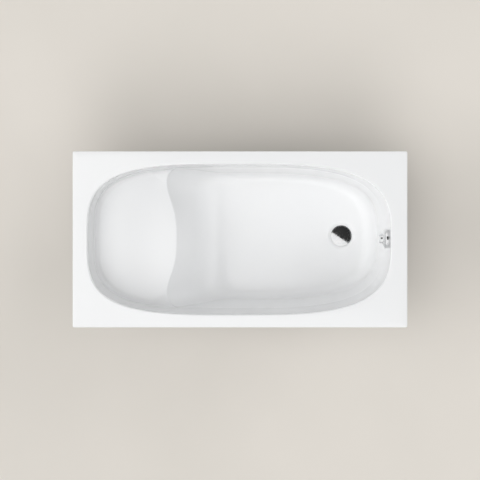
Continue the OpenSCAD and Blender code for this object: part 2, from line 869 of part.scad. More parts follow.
module plug_stem() {
    color("silver")
    at_drain()
    difference() {
        union() {
            rod(stem_r, stem_low, cover_low - touch);
            rod(collar_r, seal_low - touch - collar_t, seal_low - touch);
        }
        rod(stem_r / 2 + touch, stem_low - cut, stem_low + 12);
    }
}
module plug_adjuster() {
    color("goldenrod")
    at_drain() {
        rod(adjuster_r, adjuster_low, adjuster_low + adjuster_t);
        rod(stem_r / 2, adjuster_low, stem_low + 10);
    }
}

// Overflow, in the wall's own frame
knob_gap = 3;
plate_r = 33;
plate_low = 0.3;   // the wall stands forward by nearly this much at the plate's edge
plate_t = 2.5;
neck_r = hole_r - 0.6;
neck_deep = -12;
boss_out_r = 8;
screw_x = 16;
screw_r = 2;
screw_head_r = 3.8;
over_gasket_t = 3;
over_top = -shell_t - touch - over_gasket_t - touch;
over_flange_t = 4;
over_flange_r = hole_r + 10;
over_low = -over_body_deep;
over_t = 3;
over_bore_r = over_body_r - over_t;
hose_line = -25;
spigot_low = -over_body_r - 24;
post_r = 4.5;
post_top = neck_deep - stand_off;
drum_r = 6;
rack_gap = stand_off;
slider_z = [-30, -20];
slider_y = [drum_r + rack_gap, drum_r + rack_gap + 5];
slider_top = over_bore_r - 6;
slider_low = slider_top - 22;
wire_r = 0.8;
module overflow_knob() {
    color("silver")
    at_overflow()
    difference() {
        rotate_extrude($fn = fn)
        polygon([
            [0, knob_gap + plate_t + 4],
            [plate_r + 1, knob_gap + plate_t + 4],
            [knob_r - 2, knob_gap],
            [knob_r, knob_gap + 1],
            [knob_r, 11],
            [knob_r - 2, 15],
            [knob_r - 6, 18],
            [grip_r + 6, 20.5],
            [grip_r + 2, 22.5],
            [grip_r + 0.5, 25],
            [grip_r, knob_deep - 4],
            [grip_r - 1.2, knob_deep - 1.2],
            [grip_r - 4, knob_deep],
            [0, knob_deep]
        ]);
        rod(spindle_r + touch, knob_gap, knob_deep - 8);
    }
}
module knob_spindle() {
    color("goldenrod")
    at_overflow() {
        rod(spindle_r, over_low + over_t + 1, knob_deep - 8 - touch);
        rod(drum_r, slider_z[0] + 1, slider_z[1] - 1);
    }
}
module overflow_plate() {
    color("silver")
    at_overflow()
    difference() {
        union() {
            tube(plate_r, neck_r - 2.5, plate_low, plate_t);
            tube(neck_r, neck_r - 2.5, neck_deep, plate_t);
            rod(boss_out_r, neck_deep, plate_t);
            translate([-neck_r + 1, -5, neck_deep])
                cube([2 * neck_r - 2, 10, 6]);
        }
        rod(spindle_r + run, neck_deep - cut, plate_t + cut);
        for (x = [-screw_x, screw_x])
            translate([x, 0, 0])
            rod(screw_r + touch, neck_deep - cut, 0);
    }
}
module overflow_screws() {
    color("silver")
    at_overflow()
    for (x = [-screw_x, screw_x])
        translate([x, 0, 0]) {
            rod(screw_r, over_low + over_t + 4, neck_deep + 6 + touch);
            rod(screw_head_r, neck_deep + 6 + touch, neck_deep + 8.5);
        }
}
module overflow_gasket() {
    color("#111111")
    at_overflow()
        tube(over_flange_r - 1, hole_r + 0.5, over_top + touch, over_top + touch + over_gasket_t);
}
module overflow_body() {
    color("#444444")
    at_overflow()
    difference() {
        union() {
            difference() {
                union() {
                    rod(over_flange_r, over_top - over_flange_t, over_top);
                    rod(over_body_r, over_low, over_top - over_flange_t + touch);
                    translate([0, 0, hose_line])
                        rotate([0, -90, 0])
                        rod(port_r, over_body_r / 2, -spigot_low);
                    translate([0, cable_y, hose_line])
                        rotate([0, -90, 0])
                        rod(gland_r, 18, over_body_r + 4);
                }
                rod(over_bore_r, over_low + over_t, over_top - over_flange_t - 2);
                rod(neck_r + touch, over_top - over_flange_t - 3, over_top + cut);
                translate([0, 0, hose_line])
                    rotate([0, -90, 0])
                    rod(hose_bore_r, over_body_r / 2, -spigot_low + cut);
            }
            for (x = [-screw_x, screw_x])
                translate([x, 0, 0])
                rod(post_r, over_low + touch, post_top);
            rod(spindle_r + 3, over_low + touch, over_low + over_t + 5);
        }
        for (x = [-screw_x, screw_x])
            translate([x, 0, 0])
            rod(screw_r + touch, over_low + over_t + 2, post_top + cut);
        rod(spindle_r + run, over_low + over_t, over_low + over_t + 6);
        translate([0, cable_y, hose_line])
            rotate([0, -90, 0])
            rod(cable_r + touch, 10, over_body_r + 4 + cut);
    }
}
module cable_slider() {
    color("ivory")
    at_overflow() {
        translate([slider_low, slider_y[0], slider_z[0]])
            cube([slider_top - slider_low, slider_y[1] - slider_y[0], slider_z[1] - slider_z[0]]);
        translate([slider_low, slider_y[1] - touch, hose_line - 3])
            cube([4, cable_y - slider_y[1] + 3, 6]);
        translate([0, cable_y, hose_line])
            rotate([0, -90, 0])
            rod(wire_r, -slider_low - 1, cable_in + 4);
    }
}

// The hose and the cable run down behind the basin's end wall, bend, and run to the waste.
// A line is its start, its end's x and its end's z, drawn in the plane through the drain.
overflow_down = [-sin(draft_foot), -cos(draft_foot)];
function overflow_place(x, z) =
    [overflow_x, overflow_z] - x * overflow_down + z * [-cos(draft_foot), sin(draft_foot)];
hose_start = overflow_place(spigot_low - touch, hose_line);
hose_end = [drain_x + port_end + touch, drain_z + port_z];
cable_in = over_body_r - 9;
cable_start = overflow_place(-cable_in, hose_line);
cable_end = [drain_x + cup_body_r - 4, drain_z + cable_port_z];
bend_angle = 90 - draft_foot;
function meet(start, end) = start + overflow_down * (start[1] - end[1]) / cos(draft_foot);
function bend_from(start, end, r) = meet(start, end) - overflow_down * r * tan(bend_angle / 2);
function bend_to(start, end, r) = meet(start, end) + [-r * tan(bend_angle / 2), 0];
function bend_len(r) = r * bend_angle * PI / 180;
function run_down(start, end, r) = norm(bend_from(start, end, r) - start);
function run_out(start, end, r) = norm(end - bend_to(start, end, r));
function run_all(start, end, r) = run_down(start, end, r) + bend_len(r) + run_out(start, end, r);

// Place and heading at a distance s along a line whose bend has radius r
function line_at(s, start, end, r) =
    let (
        down = run_down(start, end, r),
        centre = bend_to(start, end, r) + [0, r],
        t = -draft_foot - (s - down) * 180 / PI / r
    )
    s <= down ? [start + overflow_down * s, -draft_foot] :
    s <= down + bend_len(r) ? [centre + r * [cos(t), sin(t)], t] :
    [bend_to(start, end, r) - [s - down - bend_len(r), 0], -90];
function hose_at(s) = line_at(s, hose_start, hose_end, hose_bend_r);

// Ring of n points round a place on a line, at y, with its corners at radius r
function ring_at(place, y, r, n) =
    let (out = [cos(place[1]), 0, sin(place[1])])
    [for (k = [0:n - 1])
        let (a = 360 * (k + 0.5) / n)
        [place[0][0], y, place[0][1]] + r * cos(a) * out + [0, r * sin(a), 0]];
hose_sides = 8;
function hose_ring(s, r) = ring_at(hose_at(s), 0, r / cos(180 / hose_sides), hose_sides);
hose_len = run_all(hose_start, hose_end, hose_bend_r);
hose_plain = 2 * hose_r;
hose_root_r = (hose_r + hose_bore_r) / 2;
n_ribs = floor((hose_len - 2 * hose_plain) / rib_pitch);
rib_from = (hose_len - n_ribs * rib_pitch) / 2;
n_bore = 18;
hose_rings = concat(
    [hose_ring(0, hose_root_r)],
    [for (k = [0:n_ribs - 1]) each [
        hose_ring(rib_from + k * rib_pitch, hose_root_r),
        hose_ring(rib_from + (k + 0.5) * rib_pitch, hose_r)]],
    [hose_ring(rib_from + n_ribs * rib_pitch, hose_root_r), hose_ring(hose_len, hose_root_r)],
    [for (k = [n_bore:-1:0]) hose_ring(hose_len * k / n_bore, hose_bore_r)]
);
n_hose = len(hose_rings);
hose_faces = [for (r = [0:n_hose - 1]) for (k = [0:hose_sides - 1])
    let (
        j = (k + 1) % hose_sides,
        a = r * hose_sides,
        b = ((r + 1) % n_hose) * hose_sides
    )
    each quad(a + k, a + j, b + j, b + k)];

// Least gap of the hose to itself, between places that lie more than a bend's width apart
gap_steps = 40;
hose_gap = min([for (a = [0:gap_steps]) for (b = [0:gap_steps])
    let (apart = abs(a - b) * hose_len / gap_steps)
    apart > 2 * hose_bend_r
        ? norm(hose_at(a * hose_len / gap_steps)[0] - hose_at(b * hose_len / gap_steps)[0])
            - 2 * hose_r
        : hose_len]);
echo(str("least gap of the hose to itself: ", hose_gap, " mm, length: ", hose_len, " mm"));

module overflow_hose() {
    color("gainsboro")
    polyhedron(points = [for (ring = hose_rings) each ring], faces = hose_faces, convexity = 6);
}
nut_wall = 4;
nut_cover = 14;
module hose_nut() {
    difference() {
        tube(hose_r + nut_wall, port_r + touch, -nut_cover, nut_cover);
        for (a = [0:45:315])
            rotate([0, 0, a])
            translate([hose_r + nut_wall + 0.8, 0, -nut_cover - cut])
            cylinder(r = 2, h = 2 * (nut_cover + cut), $fn = 16);
    }
}
module hose_nut_top() {
    color("dimgray")
    at_overflow()
    translate([spigot_low, 0, hose_line])
    rotate([0, -90, 0])
        hose_nut();
}
module hose_nut_bottom() {
    color("dimgray")
    at_drain()
    translate([port_end, 0, port_z])
    rotate([0, 90, 0])
        hose_nut();
}

// The cable is one tube whose bend lies outside the hose's; the wire slides in its top end
cable_bend_r = hose_bend_r + port_z - cable_port_z;
cable_sides = 12;
cable_steps = 12;
cable_down = run_down(cable_start, cable_end, cable_bend_r);
cable_len = run_all(cable_start, cable_end, cable_bend_r);
cable_stops = concat(
    [0],
    [for (k = [0:cable_steps]) cable_down + bend_len(cable_bend_r) * k / cable_steps],
    [cable_len]
);
cable_rings = [for (s = cable_stops)
    ring_at(line_at(s, cable_start, cable_end, cable_bend_r), cable_y, cable_r, cable_sides)];
cable_last = (len(cable_stops) - 1) * cable_sides;
cable_faces = concat(
    [for (a = [0:cable_sides:cable_last - 1]) for (k = [0:cable_sides - 1])
        let (j = (k + 1) % cable_sides, b = a + cable_sides)
        each quad(a + k, a + j, b + j, b + k)],
    [for (k = [1:cable_sides - 2]) [0, k + 1, k]],
    [for (k = [1:cable_sides - 2]) [cable_last, cable_last + k, cable_last + k + 1]]
);
echo(str("length of the cable: ", cable_len, " mm"));
wire_deep = 40;
module bowden_cable() {
    color("#222222")
    difference() {
        polyhedron(points = [for (ring = cable_rings) each ring], faces = cable_faces,
            convexity = 6);
        translate([cable_start[0], cable_y, cable_start[1]])
            rotate([0, 180 + draft_foot, 0])
            rod(wire_r + run, -cut, wire_deep);
    }
}

// Clips hold the cable to the hose
clip_h = 8;
clip_t = 1.5;
clip_bore_r = hose_r / cos(180 / hose_sides) + touch;
module cable_clips() {
    color("gray")
    for (s = [0.3, 0.75])
        let (place = hose_at(s * run_down(hose_start, hose_end, hose_bend_r)))
        translate([place[0][0], 0, place[0][1]])
        rotate([0, 180 + draft_foot, 0])
        difference() {
            union() {
                rod(clip_bore_r + clip_t, -clip_h / 2, clip_h / 2);
                translate([-2, clip_bore_r, -clip_h / 2])
                    cube([4, cable_y - clip_bore_r, clip_h]);
                translate([0, cable_y, 0])
                    rod(cable_r + touch + clip_t, -clip_h / 2, clip_h / 2);
            }
            rod(clip_bore_r, -clip_h, clip_h);
            translate([0, cable_y, 0])
                rod(cable_r + touch, -clip_h, clip_h);
        }
}

// Trap: a bend under the waste, a second leg beside it, and an outlet towards +Y
socket_gap = 0.3;
socket_t = 4.5;
socket_len = 26;
socket_out = pipe_r + socket_gap + socket_t;
trap_drop = 100;         // from the drain down to the middle of the bend
bend_z = drain_z - trap_drop;
socket_from = bend_z + 5;
socket_to = socket_from + socket_len;
outlet_low = socket_from + 5;
washer_t = 3;
nut_lip = 3;
leg_y = 2 * trap_bend_r;
outlet_from = socket_to + washer_t + nut_lip + 1;
outlet_z = outlet_from + outlet_bend_r;
outlet_y = leg_y + outlet_bend_r;
outlet_socket_len = 30;
module at_trap(y) {
    translate([drain_x, y, 0])
        children();
}
module trap_socket(from, to) {
    tube(socket_out, pipe_r + socket_gap, from + 4, to);
    tube(socket_out, pipe_r - pipe_t, from, from + 4);
}
module union_nut() {
    difference() {
        union() {
            tube(union_r, socket_out + touch, socket_to - 18, socket_to + washer_t + 2 * touch);
            tube(union_r, pipe_r + touch, socket_to + washer_t + 2 * touch,
                socket_to + washer_t + nut_lip);
        }
        for (a = [0:30:330])
            rotate([0, 0, a])
            translate([union_r + 1, 0, socket_to - 18 - cut])
            cylinder(r = 2.4, h = 18 + washer_t + nut_lip + 2 * cut, $fn = 16);
    }
}
module cone_washer() {
    tube(socket_out - 1, pipe_r + touch, socket_to + touch, socket_to + touch + washer_t);
}
module trap_nut_in() {
    color("#333333")
    at_trap(0)
        union_nut();
}
module trap_washer_in() {
    color("#111111")
    at_trap(0)
        cone_washer();
}
module trap_nut_out() {
    color("#333333")
    at_trap(leg_y)
        union_nut();
}
module trap_washer_out() {
    color("#111111")
    at_trap(leg_y)
        cone_washer();
}
module pipe_arc(r, angle) {
    rotate_extrude(angle = angle, $fn = 96)
    translate([r, 0])
    difference() {
        circle(r = pipe_r, $fn = fn);
        circle(r = pipe_r - pipe_t, $fn = fn);
    }
}
module trap_bend() {
    color("whitesmoke")
    at_trap(0) {
        for (y = [0, leg_y])
            translate([0, y, 0]) {
                tube(pipe_r, pipe_r - pipe_t, bend_z, socket_from);
                trap_socket(socket_from, socket_to);
            }
        translate([0, trap_bend_r, bend_z])
            rotate([90, 0, 90])
            rotate([0, 0, 180])
            pipe_arc(trap_bend_r, 180);
    }
}
module outlet_bend() {
    color("whitesmoke")
    at_trap(leg_y) {
        tube(pipe_r, pipe_r - pipe_t, outlet_low, outlet_from);
        translate([0, outlet_bend_r, outlet_from])
            rotate([90, 0, 90])
            rotate([0, 0, 90])
            pipe_arc(outlet_bend_r, 90);
        translate([0, outlet_bend_r, outlet_z])
            rotate([-90, 0, 0])
            trap_socket(0, outlet_socket_len);
    }
}
seal_len = 6;
spigot_r = pipe_r - 0.5;
spigot_to = outlet_socket_len + touch + seal_len + 1;
module outlet_seal() {
    color("#111111")
    at_trap(outlet_y + outlet_socket_len + touch)
    translate([0, 0, outlet_z])
    rotate([-90, 0, 0])
        tube(socket_out, spigot_r + touch, 0, seal_len);
}
module outlet_pipe() {
    color("gainsboro")
    at_trap(outlet_y)
    translate([0, 0, outlet_z])
    rotate([-90, 0, 0]) {
        tube(spigot_r, pipe_r - pipe_t, 4 + touch, spigot_to);
        tube(pipe_r, pipe_r - pipe_t, spigot_to, outlet_socket_len + pipe_len);
    }
}

tub_shell();
seat_mat();
floor_mat();
bar_pads();
weld_studs();
weld_stud_nuts();
floor_crossbar();
seat_crossbar();
leg_1();
leg_2();
leg_bolts();
earth_tag();
earth_bolt();
lock_nuts();
foot_cup_1();
foot_cup_2();
foot_cup_3();
foot_cup_4();
foot_sole_1();
foot_sole_2();
foot_sole_3();
foot_sole_4();
foot_stud_1();
foot_stud_2();
foot_stud_3();
foot_stud_4();
waste_flange();
waste_seal();
waste_gasket();
waste_body();
lever_pin();
lift_lever();
plug_cover();
plug_seal();
plug_stem();
plug_adjuster();
overflow_knob();
knob_spindle();
overflow_plate();
overflow_screws();
overflow_gasket();
overflow_body();
cable_slider();
hose_nut_top();
hose_nut_bottom();
overflow_hose();
bowden_cable();
cable_clips();
trap_nut_in();
trap_washer_in();
trap_bend();
trap_nut_out();
trap_washer_out();
outlet_bend();
outlet_seal();
outlet_pipe();
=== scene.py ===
"""Looks of the step bath: enamel shell, waste and overflow, trap, supports and feet.

Lengths in the tables below are in millimetres, as in the CAD source. Every mesh is made in
metres in the shared frame: origin on the ground under the middle of the rim, +X to the foot end.
"""

import json
import math

import bmesh
import bpy
import numpy as np
from mathutils import Matrix, Vector
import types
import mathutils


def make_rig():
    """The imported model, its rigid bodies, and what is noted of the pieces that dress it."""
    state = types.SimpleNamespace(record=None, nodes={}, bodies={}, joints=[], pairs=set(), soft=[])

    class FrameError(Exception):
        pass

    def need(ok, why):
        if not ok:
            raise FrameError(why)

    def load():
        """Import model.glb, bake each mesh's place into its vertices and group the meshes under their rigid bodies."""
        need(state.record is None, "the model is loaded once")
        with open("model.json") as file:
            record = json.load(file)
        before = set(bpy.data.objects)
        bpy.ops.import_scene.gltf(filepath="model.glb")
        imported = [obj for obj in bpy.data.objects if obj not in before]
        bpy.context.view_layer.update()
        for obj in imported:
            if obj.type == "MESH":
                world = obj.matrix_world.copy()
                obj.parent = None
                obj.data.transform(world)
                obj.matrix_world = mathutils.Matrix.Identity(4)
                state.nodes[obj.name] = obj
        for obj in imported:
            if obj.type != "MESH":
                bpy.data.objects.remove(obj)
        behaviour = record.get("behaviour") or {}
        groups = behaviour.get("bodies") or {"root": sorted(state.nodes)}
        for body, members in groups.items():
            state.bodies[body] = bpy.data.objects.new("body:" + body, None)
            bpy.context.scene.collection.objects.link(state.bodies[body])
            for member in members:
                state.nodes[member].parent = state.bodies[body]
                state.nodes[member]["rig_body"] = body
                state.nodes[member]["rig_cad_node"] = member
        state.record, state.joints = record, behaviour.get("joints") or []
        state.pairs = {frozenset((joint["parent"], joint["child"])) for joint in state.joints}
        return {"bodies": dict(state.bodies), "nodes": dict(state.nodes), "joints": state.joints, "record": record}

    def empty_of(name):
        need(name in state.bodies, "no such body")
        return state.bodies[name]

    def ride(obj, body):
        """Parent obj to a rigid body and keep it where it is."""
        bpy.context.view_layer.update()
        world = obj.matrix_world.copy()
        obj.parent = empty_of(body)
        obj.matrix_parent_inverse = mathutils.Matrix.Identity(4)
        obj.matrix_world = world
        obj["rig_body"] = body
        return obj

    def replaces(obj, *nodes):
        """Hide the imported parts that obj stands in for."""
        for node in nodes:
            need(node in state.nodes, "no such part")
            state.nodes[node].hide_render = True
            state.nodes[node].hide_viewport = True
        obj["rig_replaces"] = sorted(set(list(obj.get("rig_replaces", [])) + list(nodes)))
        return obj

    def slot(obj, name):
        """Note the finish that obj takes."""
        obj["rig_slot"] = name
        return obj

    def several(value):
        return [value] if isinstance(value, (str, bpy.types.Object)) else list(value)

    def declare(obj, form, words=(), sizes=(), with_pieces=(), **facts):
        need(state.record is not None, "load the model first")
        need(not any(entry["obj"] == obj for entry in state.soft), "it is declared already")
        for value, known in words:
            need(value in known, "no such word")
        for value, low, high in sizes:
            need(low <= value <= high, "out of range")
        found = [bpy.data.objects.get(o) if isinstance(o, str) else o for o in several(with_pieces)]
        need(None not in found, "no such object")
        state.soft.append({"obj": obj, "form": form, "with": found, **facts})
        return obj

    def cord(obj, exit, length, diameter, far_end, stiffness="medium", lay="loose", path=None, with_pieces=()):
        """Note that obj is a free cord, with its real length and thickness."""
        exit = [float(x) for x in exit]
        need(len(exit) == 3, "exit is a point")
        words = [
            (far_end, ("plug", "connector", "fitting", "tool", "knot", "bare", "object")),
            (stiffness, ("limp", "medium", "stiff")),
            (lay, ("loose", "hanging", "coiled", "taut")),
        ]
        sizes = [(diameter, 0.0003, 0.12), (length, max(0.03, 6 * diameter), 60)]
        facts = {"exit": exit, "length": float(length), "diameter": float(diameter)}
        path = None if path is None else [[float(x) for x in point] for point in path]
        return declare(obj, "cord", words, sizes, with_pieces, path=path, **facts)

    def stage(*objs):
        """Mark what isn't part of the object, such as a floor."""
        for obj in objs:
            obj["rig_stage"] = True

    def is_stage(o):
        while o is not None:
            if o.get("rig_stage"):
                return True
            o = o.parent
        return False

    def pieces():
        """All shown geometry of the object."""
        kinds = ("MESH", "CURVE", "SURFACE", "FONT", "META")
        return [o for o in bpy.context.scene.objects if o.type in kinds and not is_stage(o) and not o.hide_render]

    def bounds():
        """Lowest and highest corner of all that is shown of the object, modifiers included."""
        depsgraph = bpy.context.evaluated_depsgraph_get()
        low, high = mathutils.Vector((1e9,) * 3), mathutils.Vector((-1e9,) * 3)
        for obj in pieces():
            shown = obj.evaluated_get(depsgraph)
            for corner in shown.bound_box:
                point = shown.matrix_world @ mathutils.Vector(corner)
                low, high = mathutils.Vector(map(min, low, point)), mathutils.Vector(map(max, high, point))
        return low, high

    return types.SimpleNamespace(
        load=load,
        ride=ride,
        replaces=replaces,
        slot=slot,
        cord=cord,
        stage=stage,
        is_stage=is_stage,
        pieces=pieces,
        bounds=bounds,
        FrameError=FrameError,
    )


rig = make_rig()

MM, MM_PER_M = 0.001, 1000.0
TAU = 2 * math.pi
TINY = 1e-6

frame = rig.load()
cad_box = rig.bounds()
scene = bpy.context.scene
scene.view_settings.view_transform = "Standard"


# Angles in degrees, blends, directions and objects
def sin(a):
    return math.sin(math.radians(a))


def cos(a):
    return math.cos(math.radians(a))


def tan(a):
    return math.tan(math.radians(a))


def mix(a, b, w):
    return a + (b - a) * w


def unit(v):
    return v / np.maximum(np.linalg.norm(v, axis=-1, keepdims=True), TINY * TINY)


def linked(name, data):
    made = bpy.data.objects.new(name, data)
    scene.collection.objects.link(made)
    return made


# Camera
# The photograph looks straight down from about 5 m above the rim, over the bath's far half. The
# lens shift brings the bath back to the middle of the frame.
RIM_Z = 560.0
CAMERA_OVER_RIM, CAMERA_Y = 5.0, 0.193
SENSOR_WIDTH, CLIP_END = 36.0, 60.0
MM_PER_PIXEL, FRAME_PIXELS, SHIFT_PIXELS = 3.97, 480, -49.2

lens = bpy.data.cameras.new("top_view")
lens.sensor_fit = "HORIZONTAL"
lens.sensor_width = SENSOR_WIDTH
lens.lens = lens.sensor_width * CAMERA_OVER_RIM / (FRAME_PIXELS * MM_PER_PIXEL * MM)
lens.shift_y = SHIFT_PIXELS / FRAME_PIXELS
lens.clip_end = CLIP_END
scene.camera = linked("top_view", lens)
scene.camera.location = (0.0, CAMERA_Y, RIM_Z * MM + CAMERA_OVER_RIM)

# Materials
# The Mix node's sockets for colours
MIX_SHARE, MIX_A, MIX_B, MIX_RESULT = 0, 6, 7, 2
BLACK, WHITE = (0.0, 0.0, 0.0), (1.0, 1.0, 1.0)


class Tree:
    """A node tree. Sockets are filled with a number, a colour or another node's output."""

    def __init__(self, owner):
        owner.use_nodes = True
        self.tree = owner.node_tree

    def fill(self, socket, value):
        if isinstance(value, bpy.types.NodeSocket):
            self.tree.links.new(value, socket)
        else:
            socket.default_value = value

    def node(self, kind, sockets, **values):
        made = self.tree.nodes.new("ShaderNode" + kind)
        for key, value in values.items():
            setattr(made, key, value)
        for key, value in sockets.items():
            self.fill(made.inputs[key], value)
        return made

    def level(self, source, low, high, start=0.3, stop=0.7, way="LINEAR"):
        """From one number to another as a pattern rises from start to stop."""
        ends = {"From Min": start, "From Max": stop, "To Min": low, "To Max": high}
        return self.node("MapRange", {"Value": source, **ends},
                         interpolation_type=way).outputs["Result"]


class Look(Tree):
    """One material. Its pattern follows the object's own coordinates."""

    def __init__(self, name, **values):
        self.material = bpy.data.materials.new(name)
        super().__init__(self.material)
        self.shader = self.tree.nodes["Principled BSDF"]
        self.place = self.node("TexCoord", {}).outputs["Object"]
        for key, value in values.items():
            self.shader.inputs[key.replace("_", " ")].default_value = value

    def stretch(self, x, y, z):
        return self.node("Mapping", {"Scale": (x, y, z), "Vector": self.place}).outputs["Vector"]

    def noise(self, size, detail=3.0, rough=0.5, place=None, twist=0.0):
        """Soft noise whose blobs are about size millimetres."""
        return self.node("TexNoise", {
            "Scale": MM_PER_M / size, "Detail": detail, "Roughness": rough, "Distortion": twist,
            "Vector": place or self.place}).outputs["Fac"]

    def cells(self, size, output="Color"):
        """Cells of about size millimetres."""
        sockets = {"Scale": MM_PER_M / size, "Vector": self.place}
        return self.node("TexVoronoi", sockets).outputs[output]

    def ramp(self, source, *stops):
        made = self.node("ValToRGB", {"Fac": source})
        ramp = made.color_ramp
        while len(ramp.elements) < len(stops):
            ramp.elements.new(0.5)
        for element, (at, colour) in zip(ramp.elements, stops):
            element.position = at
            element.color = (*colour, 1.0)
        return made.outputs["Color"]

    def blend(self, source, low, high, start=0.3, stop=0.7):
        """From the colour low to the colour high as a pattern rises from start to stop."""
        return self.ramp(source, (start, low), (stop, high))

    def mix(self, share, a, b, mode="MIX"):
        return self.node("Mix", {MIX_SHARE: share, MIX_A: a, MIX_B: b}, data_type="RGBA",
                         blend_type=mode).outputs[MIX_RESULT]

    def tint(self, source):
        self.fill(self.shader.inputs["Base Color"], source)

    def colour(self, source, *colours):
        self.tint(self.blend(source, *colours))

    def rough(self, source, *values):
        self.fill(self.shader.inputs["Roughness"], self.level(source, *values))

    def bump(self, source, height, strength, before=None):
        """Relief of a height in millimetres, added to the one before."""
        sockets = {"Distance": height * MM, "Strength": strength, "Height": source}
        if before is not None:
            sockets["Normal"] = before
        normal = self.node("Bump", sockets).outputs["Normal"]
        self.fill(self.shader.inputs["Normal"], normal)
        return normal


def enamel_white():
    """Glossy vitreous enamel: all but even white, with a faint orange peel."""
    look = Look("enamel_white", Coat_Weight=0.25, Coat_Roughness=0.04)
    cloud = look.noise(420, 2)
    look.colour(cloud, (0.872, 0.878, 0.884), (0.886, 0.89, 0.892))
    look.rough(look.noise(60, 3), 0.09, 0.14)
    peel = look.bump(look.noise(9, 2), 0.02, 0.5)
    look.bump(look.noise(2.2, 2), 0.004, 0.4, before=peel)
    return look.material


def ground_coat():
    """Underside of the steel: a thin grey-blue base coat with fine speckles and soft runs."""
    look = Look("ground_coat")
    cloud = look.noise(130, 4, 0.6, twist=0.6)
    base = look.blend(cloud, (0.11, 0.125, 0.145), (0.175, 0.19, 0.21))
    speck = look.blend(look.noise(1.6, 2), BLACK, WHITE, 0.6, 0.68)
    light = look.blend(look.noise(40, 2), (0.3, 0.31, 0.33), (0.5, 0.51, 0.52), 0.4)
    look.tint(look.mix(speck, base, light))
    look.rough(look.noise(25, 3), 0.24, 0.42)
    runs = look.bump(look.noise(30, 3, place=look.stretch(1, 1, 0.4)), 0.15, 0.6)
    look.bump(look.noise(1.4, 2), 0.02, 0.7, before=runs)
    return look.material


def galvanised():
    """Hot-dip zinc: crystals of differing grey, dulled by handling."""
    look = Look("zinc_steel", Metallic=1.0)
    crystal_size = 11
    crystal = look.cells(crystal_size)
    tone = look.ramp(crystal, (0.1, (0.48, 0.495, 0.51)), (0.5, (0.53, 0.545, 0.56)),
                     (0.9, (0.58, 0.595, 0.61)))
    dull = look.blend(look.noise(14, 2), (0.82, 0.82, 0.82), WHITE, 0.35, 0.65)
    look.tint(look.mix(1.0, tone, dull, "MULTIPLY"))
    look.rough(crystal, 0.37, 0.46, 0.1, 0.9)
    edges = look.bump(look.cells(crystal_size, "Distance"), 0.02, 0.6)
    look.bump(look.noise(0.9, 3), 0.01, 0.8, before=edges)
    return look.material


def bright_zinc():
    """Zinc-plated fasteners with a faint yellow and blue tint and turning marks."""
    look = Look("fastener_steel", Metallic=1.0)
    look.tint(look.ramp(look.noise(7, 3), (0.3, (0.6, 0.61, 0.65)), (0.5, (0.68, 0.68, 0.68)),
                        (0.7, (0.7, 0.67, 0.6))))
    look.rough(look.noise(2.5, 3), 0.2, 0.4)
    look.bump(look.noise(1.1, 3, place=look.stretch(1, 1, 6)), 0.01, 0.7)
    return look.material


def chrome():
    """Polished chrome with a trace of water marks."""
    look = Look("chrome", Metallic=1.0)
    look.colour(look.noise(30, 3), (0.76, 0.77, 0.78), (0.82, 0.82, 0.82))
    look.rough(look.noise(11, 4, 0.6), 0.035, 0.1)
    look.bump(look.noise(4, 2), 0.002, 0.5)
    return look.material


def brass():
    look = Look("brass", Metallic=1.0)
    look.colour(look.noise(8, 4), (0.52, 0.37, 0.14), (0.66, 0.5, 0.22))
    look.rough(look.noise(3, 3), 0.22, 0.42)
    look.bump(look.noise(0.8, 2, place=look.stretch(1, 1, 5)), 0.01, 0.6)
    return look.material


def rubber():
    look = Look("rubber", Specular_IOR_Level=0.35)
    look.colour(look.noise(12, 4), (0.018, 0.018, 0.019), (0.034, 0.034, 0.035))
    look.rough(look.noise(5, 3), 0.6, 0.82)
    look.bump(look.noise(0.7, 3), 0.03, 0.7)
    return look.material


def bitumen():
    """Heavy matt damping sheet, pressed with a fine waffle."""
    look = Look("bitumen", Specular_IOR_Level=0.3)
    look.colour(look.noise(30, 4), (0.035, 0.034, 0.034), (0.062, 0.06, 0.058))
    look.rough(look.noise(6, 3), 0.75, 0.93)
    grain = look.bump(look.noise(1.2, 3), 0.08, 0.8)
    look.bump(look.cells(4, "Distance"), 0.12, 0.6, before=grain)
    return look.material


def moulded(name, low, high, rough, grain=0.9):
    """Injection-moulded plastic: fine grain, slight flow marks."""
    look = Look(name)
    look.colour(look.noise(26, 3, twist=0.8), low, high)
    look.rough(look.noise(10, 3), rough - 0.07, rough + 0.08)
    look.bump(look.noise(grain, 3), 0.02, 0.7)
    return look.material


def stainless():
    look = Look("steel_lever", Metallic=1.0)
    brush = look.noise(0.5, 2, place=look.stretch(0.12, 1, 1))
    look.colour(brush, (0.5, 0.5, 0.5), (0.62, 0.62, 0.61))
    look.rough(brush, 0.24, 0.4)
    look.bump(brush, 0.008, 0.6)
    return look.material


WHITE_ENAMEL = enamel_white()
LOOKS = {
    "enamel": ground_coat(),
    "bitumen": bitumen(),
    "rubber": rubber(),
    "zinc_steel": galvanised(),
    "fastener_steel": bright_zinc(),
    "black_plastic": moulded("black_plastic", (0.026, 0.027, 0.029), (0.045, 0.046, 0.049), 0.42),
    "chrome": chrome(),
    "brass": brass(),
    "white_plastic": moulded("white_plastic", (0.68, 0.68, 0.665), (0.76, 0.76, 0.745), 0.38),
    "steel_lever": stainless(),
    "cable_sheath": moulded("cable_sheath", (0.016, 0.016, 0.017), (0.028, 0.028, 0.03), 0.35, 0.6),
}
SLOT_OF = {row["node"]: row["material_slot"] for row in frame["record"]["subparts"]}
BODY_OF = {n: b for b, ns in frame["record"]["behaviour"]["bodies"].items() for n in ns}
for name, cad in frame["nodes"].items():
    for held in cad.material_slots:
        held.material = LOOKS[SLOT_OF[name]]

